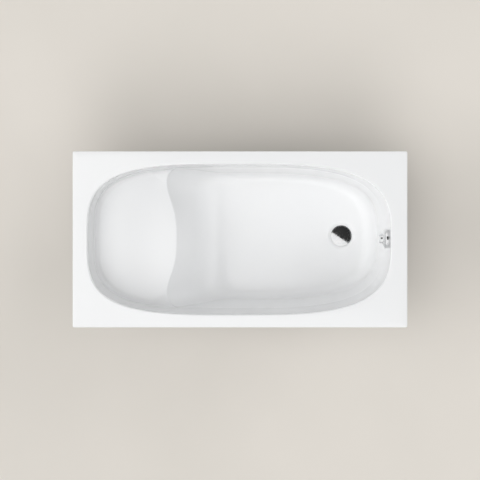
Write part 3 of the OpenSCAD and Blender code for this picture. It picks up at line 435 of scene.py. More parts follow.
# Mesh tools
# Points within WELD metres become one, and bends over SHARP degrees stay sharp. A copied CAD
# node loses bends under FLAT, has those over BEVEL_FROM rounded, and stays sharp over CAD_SHARP.
WELD, SHARP = 2e-6, 42
FLAT, BEVEL_FROM, CAD_SHARP, BEVEL_STEPS = 0.6, 35, 48, 2
# Round corners of a profile: their steps, and the most that one takes of a side
ROUND_STEPS, ROUND_MOST = 5, 0.48
SIDES, ROD_SIDES, FINE_SIDES = 96, 64, 160
# Hexagons: steps on a side, share of the width where the cone starts, depths of its rows, lead-in
HEX_STEPS, CORNER_FROM = 8, 0.975
CORNER_DROPS = (0.0, 0.1, 0.22, 0.36, 0.52, 0.7, 0.9)
LEAD_MOST, LEAD_SHARE = 0.6, 0.2
# Threads: height of the rows within one pitch, depth in pitches, and the tip's cone
THREAD_WAVE = (0.0, 0.45, 0.95, 1.0, 0.95, 0.45)
THREAD_DEEP, THREAD_TIP = 0.61, 0.3
SLAB_STEPS, SLAB_LEAST_R = 6, 0.05
QUARTER_TURN = (0, 30, 60, 90)


def dress(made, node):
    """Lets a piece stand for a CAD node, on its body and with its slot."""
    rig.ride(made, BODY_OF[node])
    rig.slot(made, SLOT_OF[node])
    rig.replaces(made, node)


def piece(name, node, points, faces, materials=None, indices=None):
    """A smooth piece from points in millimetres that stands for a CAD node."""
    mesh = bpy.data.meshes.new(name)
    mesh.from_pydata((np.asarray(points, float) * MM).tolist(), [], faces)
    mesh.validate()
    made = linked(name, mesh)
    for material in materials or [LOOKS[SLOT_OF[node]]]:
        mesh.materials.append(material)
    if indices is not None:
        mesh.polygons.foreach_set("material_index", indices)
    mesh.polygons.foreach_set("use_smooth", [True] * len(mesh.polygons))
    dress(made, node)
    return made


def grid_faces(rows, columns, start=0, turned=False):
    """Quads between the rows of a grid whose columns close on themselves."""
    faces = []
    for r in range(rows - 1):
        for c in range(columns):
            d = (c + 1) % columns
            a = start + r * columns
            quad = (a + c, a + d, a + columns + d, a + columns + c)
            faces.append(quad[::-1] if turned else quad)
    return faces


def end_caps(rows, columns):
    """The two faces that close a grid's first and last row."""
    last = (rows - 1) * columns
    return [tuple(range(columns))[::-1], tuple(range(last, last + columns))]


def circle(r, z, sides):
    return [(r * math.cos(TAU * k / sides), r * math.sin(TAU * k / sides), z)
            for k in range(sides)]


class Opened:
    """A mesh opened for changes, which are written back at the end of the with block."""

    def __init__(self, mesh):
        self.mesh, self.work = mesh, bmesh.new()
        self.work.from_mesh(mesh)

    def __enter__(self):
        return self.work

    def __exit__(self, *problem):
        self.work.to_mesh(self.mesh)
        self.work.free()


def sharpen(made, degrees):
    """Marks the edges that bend more than that many degrees as sharp."""
    limit = math.radians(degrees)
    with Opened(made.data) as work:
        for edge in work.edges:
            edge.smooth = not (edge.is_manifold and edge.calc_face_angle(0.0) > limit)


def baked(made):
    """Applies a piece's modifiers to its mesh."""
    bpy.context.view_layer.update()
    done = bpy.data.meshes.new_from_object(made.evaluated_get(bpy.context.evaluated_depsgraph_get()))
    made.modifiers.clear()
    made.data = done


def even(made, degrees):
    """Keeps sharp edges sharp, and lets flat faces shade flat beside round ones."""
    sharpen(made, degrees)
    made.modifiers.new("even", "WEIGHTED_NORMAL").keep_sharp = True
    baked(made)


def finish_mesh(made):
    """Welds a piece, turns its faces outward and evens its shading."""
    with Opened(made.data) as work:
        bmesh.ops.remove_doubles(work, verts=work.verts, dist=WELD)
        bmesh.ops.recalc_face_normals(work, faces=work.faces)
    even(made, SHARP)


def soften(node, width):
    """Dresses a CAD node in a copy whose sharp edges are rounded by width millimetres."""
    mesh = frame["nodes"][node].data.copy()
    with Opened(mesh) as work:
        bmesh.ops.remove_doubles(work, verts=work.verts, dist=WELD)
        bmesh.ops.dissolve_limit(work, angle_limit=math.radians(FLAT), verts=work.verts,
                                 edges=work.edges, delimit={"NORMAL"})
    mesh.materials.clear()
    mesh.materials.append(LOOKS[SLOT_OF[node]])
    made = linked(node + "_finished", mesh)
    mesh.polygons.foreach_set("use_smooth", [True] * len(mesh.polygons))
    edges = made.modifiers.new("edges", "BEVEL")
    edges.width = width * MM
    edges.segments = BEVEL_STEPS
    edges.limit_method = "ANGLE"
    edges.angle_limit = math.radians(BEVEL_FROM)
    edges.use_clamp_overlap = True
    baked(made)
    even(made, CAD_SHARP)
    dress(made, node)


def rounded(profile):
    """Closed profile of (r, z) or (r, z, radius) points, with its corners rounded."""
    line = []
    for k, point in enumerate(profile):
        p = np.array(point[:2], float)
        before, after = (np.array(profile[j % len(profile)][:2], float) for j in (k - 1, k + 1))
        a, b = before - p, after - p
        reach = ROUND_MOST * min(np.linalg.norm(a), np.linalg.norm(b))
        if len(point) < 3 or reach < TINY:
            line.append(p)
            continue
        a, b = unit(a), unit(b)
        half = math.acos(max(-1.0, min(1.0, float(a @ b)))) / 2
        run = min(point[2] / math.tan(half), reach)
        centre = p + unit(a + b) * run / math.cos(half)
        sweep = math.pi - 2 * half
        for s in range(ROUND_STEPS + 1):
            t = sweep * s / ROUND_STEPS
            u, v = p + a * run - centre, p + b * run - centre
            line.append(centre + (math.sin(sweep - t) * u + math.sin(t) * v) / math.sin(sweep))
    return line


class Form:
    """Closed shapes in millimetres, gathered into one mesh."""

    def __init__(self, place=Matrix()):
        self.points, self.faces, self.place = [], [], place

    def add(self, points, faces):
        start = len(self.points)
        self.points += placed(points, self.place)
        self.faces += [tuple(start + i for i in face) for face in faces]
        return self

    def at(self, place):
        self.place = place
        return self

    def turned(self, profile, sides=SIDES):
        """Solid turned round the frame's Z from a profile that runs counter-clockwise."""
        points, faces, rings = [], [], []
        for r, z in rounded(profile):
            n = 1 if r < TINY else sides
            rings.append(range(len(points), len(points) + n))
            points += circle(r, z, n)
        for a, b in zip(rings, rings[1:] + rings[:1]):
            for k in range(sides):
                j = (k + 1) % sides
                if len(a) > 1 and len(b) > 1:
                    faces.append((a[k], a[j], b[j], b[k]))
                elif len(b) > 1:
                    faces.append((a[0], b[j], b[k]))
                elif len(a) > 1:
                    faces.append((a[k], a[j], b[0]))
        return self.add(points, faces)

    def ring(self, inner, outer, low, high, edge, sides=SIDES):
        return self.turned([(inner, low, edge), (outer, low, edge), (outer, high, edge),
                            (inner, high, edge)], sides)

    def rod(self, r, low, high, edge=0.3):
        return self.turned([(0, low), (r, low, edge), (r, high, edge), (0, high)], ROD_SIDES)

    def hexagon(self, corner, low, high, bore=0.0):
        """Hexagonal nut or head whose corners are turned off at both faces."""
        flat, m = corner * cos(30), 6 * HEX_STEPS
        levels = [(low + d, d) for d in CORNER_DROPS]
        levels += [(high - d, d) for d in reversed(CORNER_DROPS)]
        rows = []
        for z, d in levels:
            cone = flat * CORNER_FROM + d * math.sqrt(3)
            rows.append([(min(flat / cos((60 * k / HEX_STEPS) % 60 - 30), cone), 360 * k / m, z)
                         for k in range(m)])
        if bore:
            lead = min(LEAD_MOST, LEAD_SHARE * bore)
            for z, r in ((high, bore + lead), (high - lead, bore), (low + lead, bore),
                         (low, bore + lead)):
                rows.append([(r, 360 * k / m, z) for k in range(m)])
        points = [(r * cos(a), r * sin(a), z) for row in rows for r, a, z in row]
        faces = grid_faces(len(rows), m)
        if bore:
            last = (len(rows) - 1) * m
            faces += [(last + k, last + (k + 1) % m, (k + 1) % m, k) for k in range(m)]
        else:
            faces += end_caps(len(rows), m)
        return self.add(points, faces)

    def thread(self, r, low, high, pitch, sides=24):
        """Threaded rod: its rows follow the helix, and its ends are turned to a cone."""
        per, deep = len(THREAD_WAVE), THREAD_DEEP * pitch
        count = math.ceil((high - low) / pitch + 1) * per
        points = []
        for j in range(count + 1):
            for k in range(sides):
                z = min(max(low + pitch * (j / per - 1 + k / sides), low), high)
                out = min(r - deep * (1 - THREAD_WAVE[j % per]),
                          r - deep - THREAD_TIP + min(z - low, high - z))
                a = TAU * k / sides
                points.append((out * math.cos(a), out * math.sin(a), z))
        faces = []
        for j in range(count):
            for k in range(sides):
                a, b = j * sides + k, (j + 1) * sides + k
                if k + 1 < sides:
                    faces.append((a, a + 1, b + 1, b))
                elif j + per < count:
                    faces.append((a, (j + per) * sides, (j + per + 1) * sides, b))
        return self.add(points, faces + end_caps(count + 1, sides))

    def slab(self, x, y, low, high, corner, edge):
        """Slab with rounded corners and edges; low and high give its faces at each x."""
        (x0, x1), (y0, y1) = x, y
        rows = [(edge * (1 - sin(a)), low, edge * (1 - cos(a))) for a in QUARTER_TURN]
        rows += [(edge * (1 - sin(a)), high, -edge * (1 - cos(a))) for a in QUARTER_TURN[::-1]]
        points = []
        for inset, face, up in rows:
            r = max(corner - inset, SLAB_LEAST_R)
            for cx, cy, start in ((x1, y0, -90), (x1, y1, 0), (x0, y1, 90), (x0, y0, 180)):
                mx = cx + (r + inset) * (-1 if cx == x1 else 1)
                my = cy + (r + inset) * (-1 if cy == y1 else 1)
                for k in range(SLAB_STEPS + 1):
                    a = start + 90 * k / SLAB_STEPS
                    px = mx + r * cos(a)
                    points.append((px, my + r * sin(a), face(px) + up))
        m = 4 * (SLAB_STEPS + 1)
        return self.add(points, grid_faces(len(rows), m) + end_caps(len(rows), m))

    def make(self, name, node):
        finish_mesh(piece(name, node, self.points, self.faces))


# Enamelled shell
# The CAD source's stations with more steps between. Only the rim's and seat's edges turn tighter.
RIM_LEN, RIM_WID = 1330.0, 700.0
LIP_H, LIP_RETURN, EDGE_R, CORNER_R, SHELL_T = 32.0, 14.0, 4.0, 6.0, 3.0
RIM_FOOT, RIM_HEAD, RIM_SIDE, ROLL_R = 50.0, 44.0, 36.0, 16.0
EDGE_ROLL, LIP_EDGE_R = 6.0, EDGE_R * 0.6
SQUARE_FOOT, SQUARE_HEAD = 3.3, 3.6
FLOOR_DEPTH, FLOOR_FALL = 400.0, 0.8
DRAFT_SIDE, DRAFT_WELL, DRAFT_FOOT, DRAFT_HEAD = 2.5, 7.0, 3.0, 2.0
FILLET_SIDE, FILLET_FOOT = 40.0, 65.0
SEAT_DEPTH, SEAT_FALL, SEAT_REACH = 190.0, 1.0, 404.0
LOBE_BACK, LOBE_X, LOBE_Y = 40.0, 48.0, 60.0
SEAT_FILLET, SEAT_EDGE_R = 20.0, 8.0
RISER_SLOPE, RISER_FILLET, FLOOR_CORNER = 30.0, 155.0, 80.0
DRAIN_IN, HOLE_R, DISH_DEPTH, FLANGE_R = 231.0, 26.0, 4.0, 45.5
DISH_R, DISH_SLOPE = FLANGE_R + 1.5, 12.0
N_END, N_SIDE, N_LOBE, N_HEAD = 16, 4, 5, 11
N_HALF = N_END + N_SIDE + N_LOBE + N_HEAD
LOBE_FROM, LOBE_TO = 114.0, 123.0
# How stations crowd: sway in the foot half, powers at the head and the seat's lobes, last angle
# of the foot half on the floor, and share of the true angle in the dish
END_SWAY, HEAD_POWER, LOBE_POWER, FLOOR_START, DISH_SHARE = 4, 1.25, 1.5, 72, 0.4
# Rings of the seat's fillet and front edge, where they pass round the footwell: height over the
# seat, drop from step to step, and steps
FILLET_UP, FILLET_STEP, FILLET_STEPS = 50, 8, 4
EDGE_UP, EDGE_STEP, EDGE_STEPS = 8, 4, 2
# Share of the riser's height at which its straight part is ringed
RISER_SHARE = 0.78
# Stations between which the rim turns its two corners
CORNER_A, CORNER_B, CORNER_LEAST = 7, 9, 0.5
CORNER_C = N_END + N_SIDE + N_LOBE + 3
CORNER_D = CORNER_C + 2

WALL_FOOT = RIM_LEN / 2 - RIM_FOOT - ROLL_R
WALL_HEAD = RIM_LEN / 2 - RIM_HEAD - ROLL_R
WALL_SIDE = RIM_WID / 2 - RIM_SIDE - ROLL_R
WALL_TOP = RIM_Z - ROLL_R
DRAIN_X = RIM_LEN / 2 - DRAIN_IN
DRAIN_Z = RIM_Z - FLOOR_DEPTH
FRONT_X = SEAT_REACH - RIM_LEN / 2
SEAT_Z = RIM_Z - SEAT_DEPTH
SEAT_OVER_FLOOR = SEAT_Z - DRAIN_Z


def floor_rise(x):
    return max(0.0, DRAIN_X - x) * tan(FLOOR_FALL)


def seat_at(x):
    return SEAT_Z + (FRONT_X - x) * tan(SEAT_FALL)


def wall_in(h, top, r, draft):
    """How far a drafted wall with a round foot stands in from its top."""
    tangent = r * (1 - sin(draft))
    if h >= tangent:
        return tan(draft) * (top - h)
    low = max(0.0, r - h)
    return tan(draft) * (top - tangent) + r * cos(draft) - math.sqrt(max(0.0, r * r - low * low))


def station(t):
    """Segment, place along it, angle round the basin, and share of the seat."""
    if t <= N_END:
        u = t / N_END
        return 0, u, 90 * u + END_SWAY * sin(360 * u), 0.0
    t -= N_END
    if t <= N_SIDE:
        u = t / N_SIDE
        return 1, u, mix(90, LOBE_FROM, u), 0.0
    t -= N_SIDE
    if t <= N_LOBE:
        u = t / N_LOBE
        return 2, u, mix(LOBE_FROM, LOBE_TO, u), u * u * (2 - u)
    u = (t - N_LOBE) / N_HEAD
    return 3, u, mix(LOBE_TO, 180, u**HEAD_POWER), 1.0


def oblong(a, b, n, t):
    """Point at the angle t of an oval with half axes a and b, squarer for a larger n."""
    k = (abs(cos(t)) ** n + abs(sin(t)) ** n) ** (-1 / n)
    return a * cos(t) * k, b * sin(t) * k


def outline(st, foot, side, head):
    """Basin's edge at a station, drawn in by foot, side and head."""
    if st[2] <= 90:
        return oblong(WALL_FOOT - foot, WALL_SIDE - side, SQUARE_FOOT, st[2])
    return oblong(WALL_HEAD - head, WALL_SIDE - side, SQUARE_HEAD, st[2])


def plan_x(t):
    return outline(station(t), 0, 0, 0)[0]


def side_share(t):
    x = plan_x(t)
    return x / plan_x(CORNER_B) if x > 0 else -x / plan_x(CORNER_C)


def rim_point(t, d):
    x, y, r = RIM_LEN / 2 - d, RIM_WID / 2 - d, max(CORNER_R - d, CORNER_LEAST)
    if t <= CORNER_A:
        return x, (y - r) * t / CORNER_A
    if t < CORNER_B:
        a = 90 * (t - CORNER_A) / (CORNER_B - CORNER_A)
        return x - r + r * cos(a), y - r + r * sin(a)
    if t <= CORNER_C:
        return (x - r) * side_share(t), y
    if t < CORNER_D:
        a = 90 + 90 * (t - CORNER_C) / (CORNER_D - CORNER_C)
        return r - x + r * cos(a), y - r + r * sin(a)
    return -x, (y - r) * (N_HALF - t) / (N_HALF - CORNER_D)


PER_STATION = 4
STEPS = [k / PER_STATION for k in range(N_HALF * PER_STATION + 1)]
STATIONS = [station(t) for t in STEPS]


def rim_ring(d, drop):
    return [(*rim_point(t, d), RIM_Z - drop) for t in STEPS]


def roll_ring(a):
    """Ring of the edge between rim and wall."""
    out, up = -EDGE_ROLL * (1 - sin(a)), ROLL_R - EDGE_ROLL
    foot, side, head = (out - tan(draft) * up for draft in (DRAFT_FOOT, DRAFT_SIDE, DRAFT_HEAD))
    return [(*outline(st, foot, side, head), RIM_Z - EDGE_ROLL * (1 - cos(a))) for st in STATIONS]


def upper_ring(wall_up, seat_up, turn):
    """Ring of the upper wall, so far over the seat's level by the footwell and by the seat."""
    ring = []
    for st in STATIONS:
        x = outline(st, 0, turn, turn)[0]
        z = mix(SEAT_Z + wall_up, seat_at(x) + seat_up, st[3])
        fall, inset = WALL_TOP - z, turn * st[3]
        ring.append((*outline(st, tan(DRAFT_FOOT) * fall, tan(DRAFT_SIDE) * fall + inset,
                              tan(DRAFT_HEAD) * fall + inset), z))
    return ring


def side_y(x, foot, side):
    if x > 0:
        return side * (1 - (x / foot) ** SQUARE_FOOT) ** (1 / SQUARE_FOOT)
    return side * (1 - (-x / WALL_HEAD) ** SQUARE_HEAD) ** (1 / SQUARE_HEAD)


def footwell(st, h):
    """Plan of the footwell at height h over the floor."""
    share = min(1.0, h / SEAT_OVER_FLOOR)
    top = WALL_TOP - DRAIN_Z
    foot = WALL_FOOT - wall_in(h, top, FILLET_FOOT, DRAFT_FOOT)
    low = min(h, SEAT_OVER_FLOOR)
    side = (WALL_SIDE - tan(DRAFT_SIDE) * (top - max(h, SEAT_OVER_FLOOR))
            - wall_in(low, SEAT_OVER_FLOOR, FILLET_SIDE, DRAFT_WELL))
    riser = wall_in(low, SEAT_OVER_FLOOR, RISER_FILLET, RISER_SLOPE)
    back = FRONT_X + riser - LOBE_BACK * share
    rx, ry = mix(FLOOR_CORNER, LOBE_X, share), mix(FLOOR_CORNER, LOBE_Y, share)
    corner = side_y(back + rx, foot, side)
    start = mix(FLOOR_START, 90, share)
    if st[0] == 0:
        return oblong(foot, side, SQUARE_FOOT, st[2] * start / 90)
    if st[0] == 1:
        x = mix(oblong(foot, side, SQUARE_FOOT, start)[0], back + rx, st[1])
        return x, side_y(x, foot, side)
    if st[0] == 2:
        turn = 90 * st[1]
        return back + rx - rx * sin(turn), corner - ry + ry * cos(turn)
    lobe = cos(90 * (1 - st[1]) ** LOBE_POWER) ** 2
    return back + LOBE_BACK * share * lobe, (corner - ry) * (1 - st[1])


def edge_ring(wall_up, out, drop):
    """Ring of the seat's front edge, out beyond the footwell and drop below the seat."""
    ring = []
    for st in STATIONS:
        turn = 90 * st[1] if st[0] == 2 else 90
        x, y = footwell(st, SEAT_OVER_FLOOR + wall_up * (1 - st[3]))
        x, y = x - out * st[3] * sin(turn), y + out * st[3] * cos(turn)
        ring.append((x, y, mix(SEAT_Z + wall_up, seat_at(x) - drop, st[3])))
    return ring


def lower_ring(h):
    ring = []
    for st in STATIONS:
        x, y = footwell(st, h)
        ring.append((x, y, DRAIN_Z + h + floor_rise(x) * (1 - h / SEAT_OVER_FLOOR)))
    return ring


def dish_ring(r, drop, sink=0.0):
    """Ring round the drain; sink blends from the sloping floor to the level dish."""
    ring = []
    for t, st in zip(STEPS, STATIONS):
        x, y = footwell(st, 0)
        a = mix(180 * t / N_HALF, math.degrees(math.atan2(y, x - DRAIN_X)), DISH_SHARE)
        x = DRAIN_X + r * cos(a)
        z = DRAIN_Z + mix(floor_rise(x), 0, sink) - drop
        ring.append((x, r * sin(a), z))
    return ring


def between(a, b, n):
    """n rings from ring a up to, and without, ring b."""
    a, b = np.array(a), np.array(b)
    return [a + (b - a) * k / n for k in range(n)]


def shell_rings():
    """Rings of the outer face, from the lip over rim, walls and floor to the drain."""
    edge_turn = 90 - RISER_SLOPE
    edge_back = SEAT_EDGE_R * tan(edge_turn / 2)
    rings = between(rim_ring(LIP_RETURN, LIP_H), rim_ring(LIP_EDGE_R, LIP_H), 2)
    rings += [rim_ring(LIP_EDGE_R * (1 - sin(a)), LIP_H - LIP_EDGE_R * (1 - cos(a)))
              for a in QUARTER_TURN]
    rings += between(rim_ring(0, LIP_H - LIP_EDGE_R), rim_ring(0, EDGE_R), 3)[1:]
    rings += [rim_ring(EDGE_R * (1 - cos(a)), EDGE_R * (1 - sin(a))) for a in (0, 18, 36, 54, 72)]
    rings += between(rim_ring(EDGE_R, 0), roll_ring(0), 5)
    rings += [roll_ring(a) for a in range(0, 84, 7)]
    wall = upper_ring(SEAT_OVER_FLOOR / 2, SEAT_OVER_FLOOR / 2, 0)
    fillet = upper_ring(FILLET_UP, SEAT_FILLET, 0)
    rings += between(roll_ring(90 - DRAFT_SIDE), wall, 4)
    rings += between(wall, fillet, 3)
    for k in np.arange(0, FILLET_STEPS, 0.25):
        a = 90 * k / FILLET_STEPS
        rings.append(upper_ring(FILLET_UP - FILLET_STEP * k, SEAT_FILLET * (1 - sin(a)),
                                SEAT_FILLET * (1 - cos(a))))
    seat = upper_ring(FILLET_UP - FILLET_STEP * FILLET_STEPS, 0, SEAT_FILLET)
    rings += between(seat, edge_ring(EDGE_UP, edge_back, 0), 8)
    for k in np.arange(0, EDGE_STEPS, 0.2):
        a = edge_turn * k / EDGE_STEPS
        rings.append(edge_ring(EDGE_UP - EDGE_STEP * k, edge_back - SEAT_EDGE_R * sin(a),
                               SEAT_EDGE_R * (1 - cos(a))))
    lip = edge_ring(0, edge_back - SEAT_EDGE_R * sin(edge_turn), SEAT_EDGE_R * (1 - cos(edge_turn)))
    straight = RISER_SHARE * SEAT_OVER_FLOOR
    rings += between(lip, lower_ring(straight), 4)
    foot = RISER_FILLET * (1 - cos(edge_turn))
    rings += [lower_ring(h) for h in np.linspace(straight, foot, 9)[:-1]]
    rings += [lower_ring(RISER_FILLET * (1 - cos(a))) for a in np.arange(edge_turn, 0.1, -2.5)]
    rings += between(lower_ring(0), dish_ring(DISH_R + DISH_SLOPE, 0), 10)
    for u in np.arange(7) / 7:
        sink = u * u * (3 - 2 * u)
        rings.append(dish_ring(DISH_R + DISH_SLOPE * (1 - u), DISH_DEPTH * sink, sink))
    rings += between(dish_ring(DISH_R, DISH_DEPTH, 1), dish_ring(HOLE_R, DISH_DEPTH, 1), 3)
    rings.append(dish_ring(HOLE_R, DISH_DEPTH, 1))
    half = np.array([np.array(r) for r in rings])
    mirrored = half[:, -2:0:-1] * (1, -1, 1)
    return np.concatenate([half, mirrored], axis=1)


def make_shell():
    outer = shell_rings()
    n_rings, n = outer.shape[:2]
    step = unit(np.diff(outer, axis=0))
    across = unit(np.concatenate([step[:1], step[1:] + step[:-1], step[-1:]]))
    ahead = unit(np.roll(outer, -1, 1) - outer)
    along = unit(ahead + np.roll(ahead, 1, 1))
    normal = unit(np.cross(along, across))
    inner = outer - SHELL_T * normal
    points = np.concatenate([outer.reshape(-1, 3), inner.reshape(-1, 3)])
    count = n_rings * n
    faces = grid_faces(n_rings, n)
    under = grid_faces(n_rings, n, count, turned=True)
    indices = [0] * len(faces) + [1] * len(under)
    faces += under
    for ring, turned in ((0, True), (n_rings - 1, False)):
        for c in range(n):
            a, b = ring * n + c, ring * n + (c + 1) % n
            quad = (a, b, count + b, count + a)
            faces.append(quad[::-1] if turned else quad)
            indices.append(0)
    return piece("bath_shell", "tub_shell", points, faces, [WHITE_ENAMEL, LOOKS["enamel"]], indices)


# Frames of the fittings
def quarter(x, y, z, degrees, axis):
    return Matrix.Translation((x, y, z)) @ Matrix.Rotation(math.radians(degrees), 4, axis)


def placed(points, place):
    return [tuple(place @ Vector(p)) for p in points]


OVERFLOW_DEPTH = 70
OVERFLOW_Z = RIM_Z - OVERFLOW_DEPTH
OVERFLOW_X = WALL_FOOT - tan(DRAFT_FOOT) * (WALL_TOP - OVERFLOW_Z)
AT_DRAIN = Matrix.Translation((DRAIN_X, 0, DRAIN_Z))
AT_OVERFLOW = quarter(OVERFLOW_X, 0, OVERFLOW_Z, DRAFT_FOOT - 90, "Y")
CUT_FROM, CUT_TO = -12, 8


def cut_overflow_hole(shell):
    """The round hole behind the overflow's plate."""
    points = placed(circle(HOLE_R, CUT_FROM, SIDES) + circle(HOLE_R, CUT_TO, SIDES), AT_OVERFLOW)
    mesh = bpy.data.meshes.new("hole_tool")
    mesh.from_pydata((np.array(points) * MM).tolist(), [], grid_faces(2, SIDES) + end_caps(2, SIDES))
    tool = linked("hole_tool", mesh)
    cutter = shell.modifiers.new("hole", "BOOLEAN")
    cutter.operation = "DIFFERENCE"
    cutter.solver = "EXACT"
    cutter.object = tool
    baked(shell)
    bpy.data.objects.remove(tool)


# Hose and pull cable, which go from the overflow down behind the end wall and in to the waste
HOSE_R, HOSE_BORE_R, RIB_PITCH, HOSE_BEND_R = 14.0, 10.0, 5.5, 80.0
HOSE_SIDES, RIB_STEPS, RIB_POWER, BORE_STEPS = 32, 10, 0.7, 60
CABLE_R, CABLE_Y, CABLE_TIP, CABLE_SIDES, CABLE_STEPS = 2.5, 20.0, 0.3, 20, 90
CUP_R, OVER_R = 34.0, 31.0
PORT_Z, CABLE_PORT_Z, HOSE_LINE = -38.0, -44.0, -25.0
# Length of the hose's upper and lower port, and how far the cable enters the two bodies
PORT_DOWN, PORT_OUT, CABLE_UP, CABLE_IN = 24, 26, 9, 4
TOUCH = 0.05
DOWN = np.array([-sin(DRAFT_FOOT), -cos(DRAFT_FOOT)])
OUT = np.array([-cos(DRAFT_FOOT), sin(DRAFT_FOOT)])


def overflow_place(x, z):
    """A point of the overflow's frame, as x and z of the shared frame."""
    return np.array([OVERFLOW_X, OVERFLOW_Z]) - x * DOWN + z * OUT


class Route:
    """A straight run down, one bend of radius r, and a level run to the waste, at one y."""

    def __init__(self, start, end, r, y):
        self.start, self.end, self.r, self.y = start, np.array(end), r, y
        meet = start + DOWN * (start[1] - self.end[1]) / cos(DRAFT_FOOT)
        inset = r * tan((90 - DRAFT_FOOT) / 2)
        self.bend_to = meet + (-inset, 0)
        self.down = float(np.linalg.norm(meet - DOWN * inset - start))
        self.turn = r * math.radians(90 - DRAFT_FOOT)
        self.length = self.down + self.turn + float(np.linalg.norm(self.end - self.bend_to))

    def at(self, s):
        """Place and heading at the distance s."""
        if s <= self.down:
            return self.start + DOWN * s, -DRAFT_FOOT
        if s <= self.down + self.turn:
            t = -DRAFT_FOOT - math.degrees((s - self.down) / self.r)
            return self.bend_to + (0, self.r) + self.r * np.array([cos(t), sin(t)]), t
        return self.bend_to - (s - self.down - self.turn, 0), -90.0

    def ring(self, s, r, sides):
        (x, z), t = self.at(s)
        return [(x + r * math.cos(a) * cos(t), self.y + r * math.sin(a), z + r * math.cos(a) * sin(t))
                for a in (TAU * k / sides for k in range(sides))]

    def points(self, steps):
        line = [self.at(self.length * k / steps)[0] for k in range(steps + 1)]
        return [(x * MM, self.y * MM, z * MM) for x, z in line]


def route_piece(name, node, route, rows, sides, hollow):
    """Tube through rows of distance and radius; hollow closes it through its own bore."""
    points = [p for s, r in rows for p in route.ring(s, r, sides)]
    n = len(rows)
    faces = grid_faces(n, sides, turned=True)
    if hollow:
        last = (n - 1) * sides
        faces += [(last + k, k, (k + 1) % sides, last + (k + 1) % sides)[::-1] for k in range(sides)]
    else:
        faces += [cap[::-1] for cap in end_caps(n, sides)]
    made = piece(name, node, points, faces)
    finish_mesh(made)
    return made


def make_hose():
    start = overflow_place(-OVER_R - PORT_DOWN - TOUCH, HOSE_LINE)
    end = (DRAIN_X + CUP_R + PORT_OUT + TOUCH, DRAIN_Z + PORT_Z)
    route = Route(start, end, HOSE_BEND_R, 0.0)
    root = (HOSE_R + HOSE_BORE_R) / 2
    ribs = int((route.length - 4 * HOSE_R) / RIB_PITCH)
    first = (route.length - ribs * RIB_PITCH) / 2
    rows = [(0.0, root)]
    for k in range(ribs * RIB_STEPS + 1):
        crest = (0.5 - 0.5 * math.cos(TAU * k / RIB_STEPS)) ** RIB_POWER
        rows.append((first + k * RIB_PITCH / RIB_STEPS, root + (HOSE_R - root) * crest))
    rows.append((route.length, root))
    rows += [(route.length * k / BORE_STEPS, HOSE_BORE_R) for k in range(BORE_STEPS, -1, -1)]
    made = route_piece("ribbed_hose", "overflow_hose", route, rows, HOSE_SIDES, True)
    x, y, z = route.points(1)[0]
    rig.cord(made, exit=(x, y, z), length=route.length * MM, diameter=2 * HOSE_R * MM,
            far_end="object", stiffness="stiff", lay="hanging", path=route.points(80))


def make_cable():
    start = overflow_place(-(OVER_R - CABLE_UP), HOSE_LINE)
    end = (DRAIN_X + CUP_R - CABLE_IN, DRAIN_Z + CABLE_PORT_Z)
    route = Route(start, end, HOSE_BEND_R + PORT_Z - CABLE_PORT_Z, CABLE_Y)
    rows = [(0.0, CABLE_R - CABLE_TIP), (CABLE_TIP, CABLE_R)]
    rows += [(route.length * k / CABLE_STEPS, CABLE_R) for k in range(1, CABLE_STEPS)]
    rows += [(route.length - CABLE_TIP, CABLE_R), (route.length, CABLE_R - CABLE_TIP)]
    made = route_piece("pull_cable", "bowden_cable", route, rows, CABLE_SIDES, False)
    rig.cord(made, exit=route.points(1)[0], length=route.length * MM, diameter=2 * CABLE_R * MM,
            far_end="object", stiffness="medium", lay="hanging", path=route.points(90))


# Waste and plug. A profile's points are radius, height and the radius of the corner there.
SEAL_T, FLANGE_T, GASKET_T, LIP_SEAL_T = 1.5, 2.2, 3, 3.2
FLANGE_LOW = -DISH_DEPTH + 2 * TOUCH + SEAL_T
FLANGE_TOP = -DISH_DEPTH + 2 * TOUCH + (SEAL_T + FLANGE_T)
FLANGE_SIDES = 128
THROAT_R, THROAT_BORE, THROAT_LOW = HOLE_R - 1, HOLE_R - 4, -26
HUB_LOW, HUB_TOP, HUB_T, SPOKE_HALF = -18.0, -10.0, 3, 1.5
STAND_OFF, LOOSE = 0.3, 0.1
PLUG_R, PLUG_CROWN, PLUG_EDGE, DOME_STEPS = 42.0, 1.6, 1.5, 32
COVER_LOW = FLANGE_TOP + STAND_OFF
STEM_R, BOSS_R, BOSS_LOW = 4.0, 12, -6


def make_flange():
    form = Form(AT_DRAIN).turned([
        (THROAT_BORE, THROAT_LOW, 0.6), (THROAT_R, THROAT_LOW, 0.6), (THROAT_R, FLANGE_LOW, 0.3),
        (FLANGE_R - 0.5, FLANGE_LOW, 0.3), (FLANGE_R, FLANGE_LOW + 0.8, 0.4),
        (FLANGE_R - 1, FLANGE_TOP - 0.3, 0.7), (PLUG_R - 2, FLANGE_TOP, 2),
        (THROAT_BORE + 4, FLANGE_TOP, 1.2), (THROAT_BORE, FLANGE_TOP - 4, 1.2)], FLANGE_SIDES)
    form.ring(STEM_R + LOOSE, STEM_R + HUB_T, HUB_LOW, HUB_TOP, 0.5, ROD_SIDES)
    for a in (0, 120, 240):
        form.at(AT_DRAIN @ Matrix.Rotation(math.radians(a), 4, "Z"))
        form.slab((STEM_R + HUB_T / 2, THROAT_BORE + 0.8), (-SPOKE_HALF, SPOKE_HALF),
                  lambda x: HUB_LOW, lambda x: HUB_TOP, 0.3, 0.6)
    form.make("waste_ring", "waste_flange")


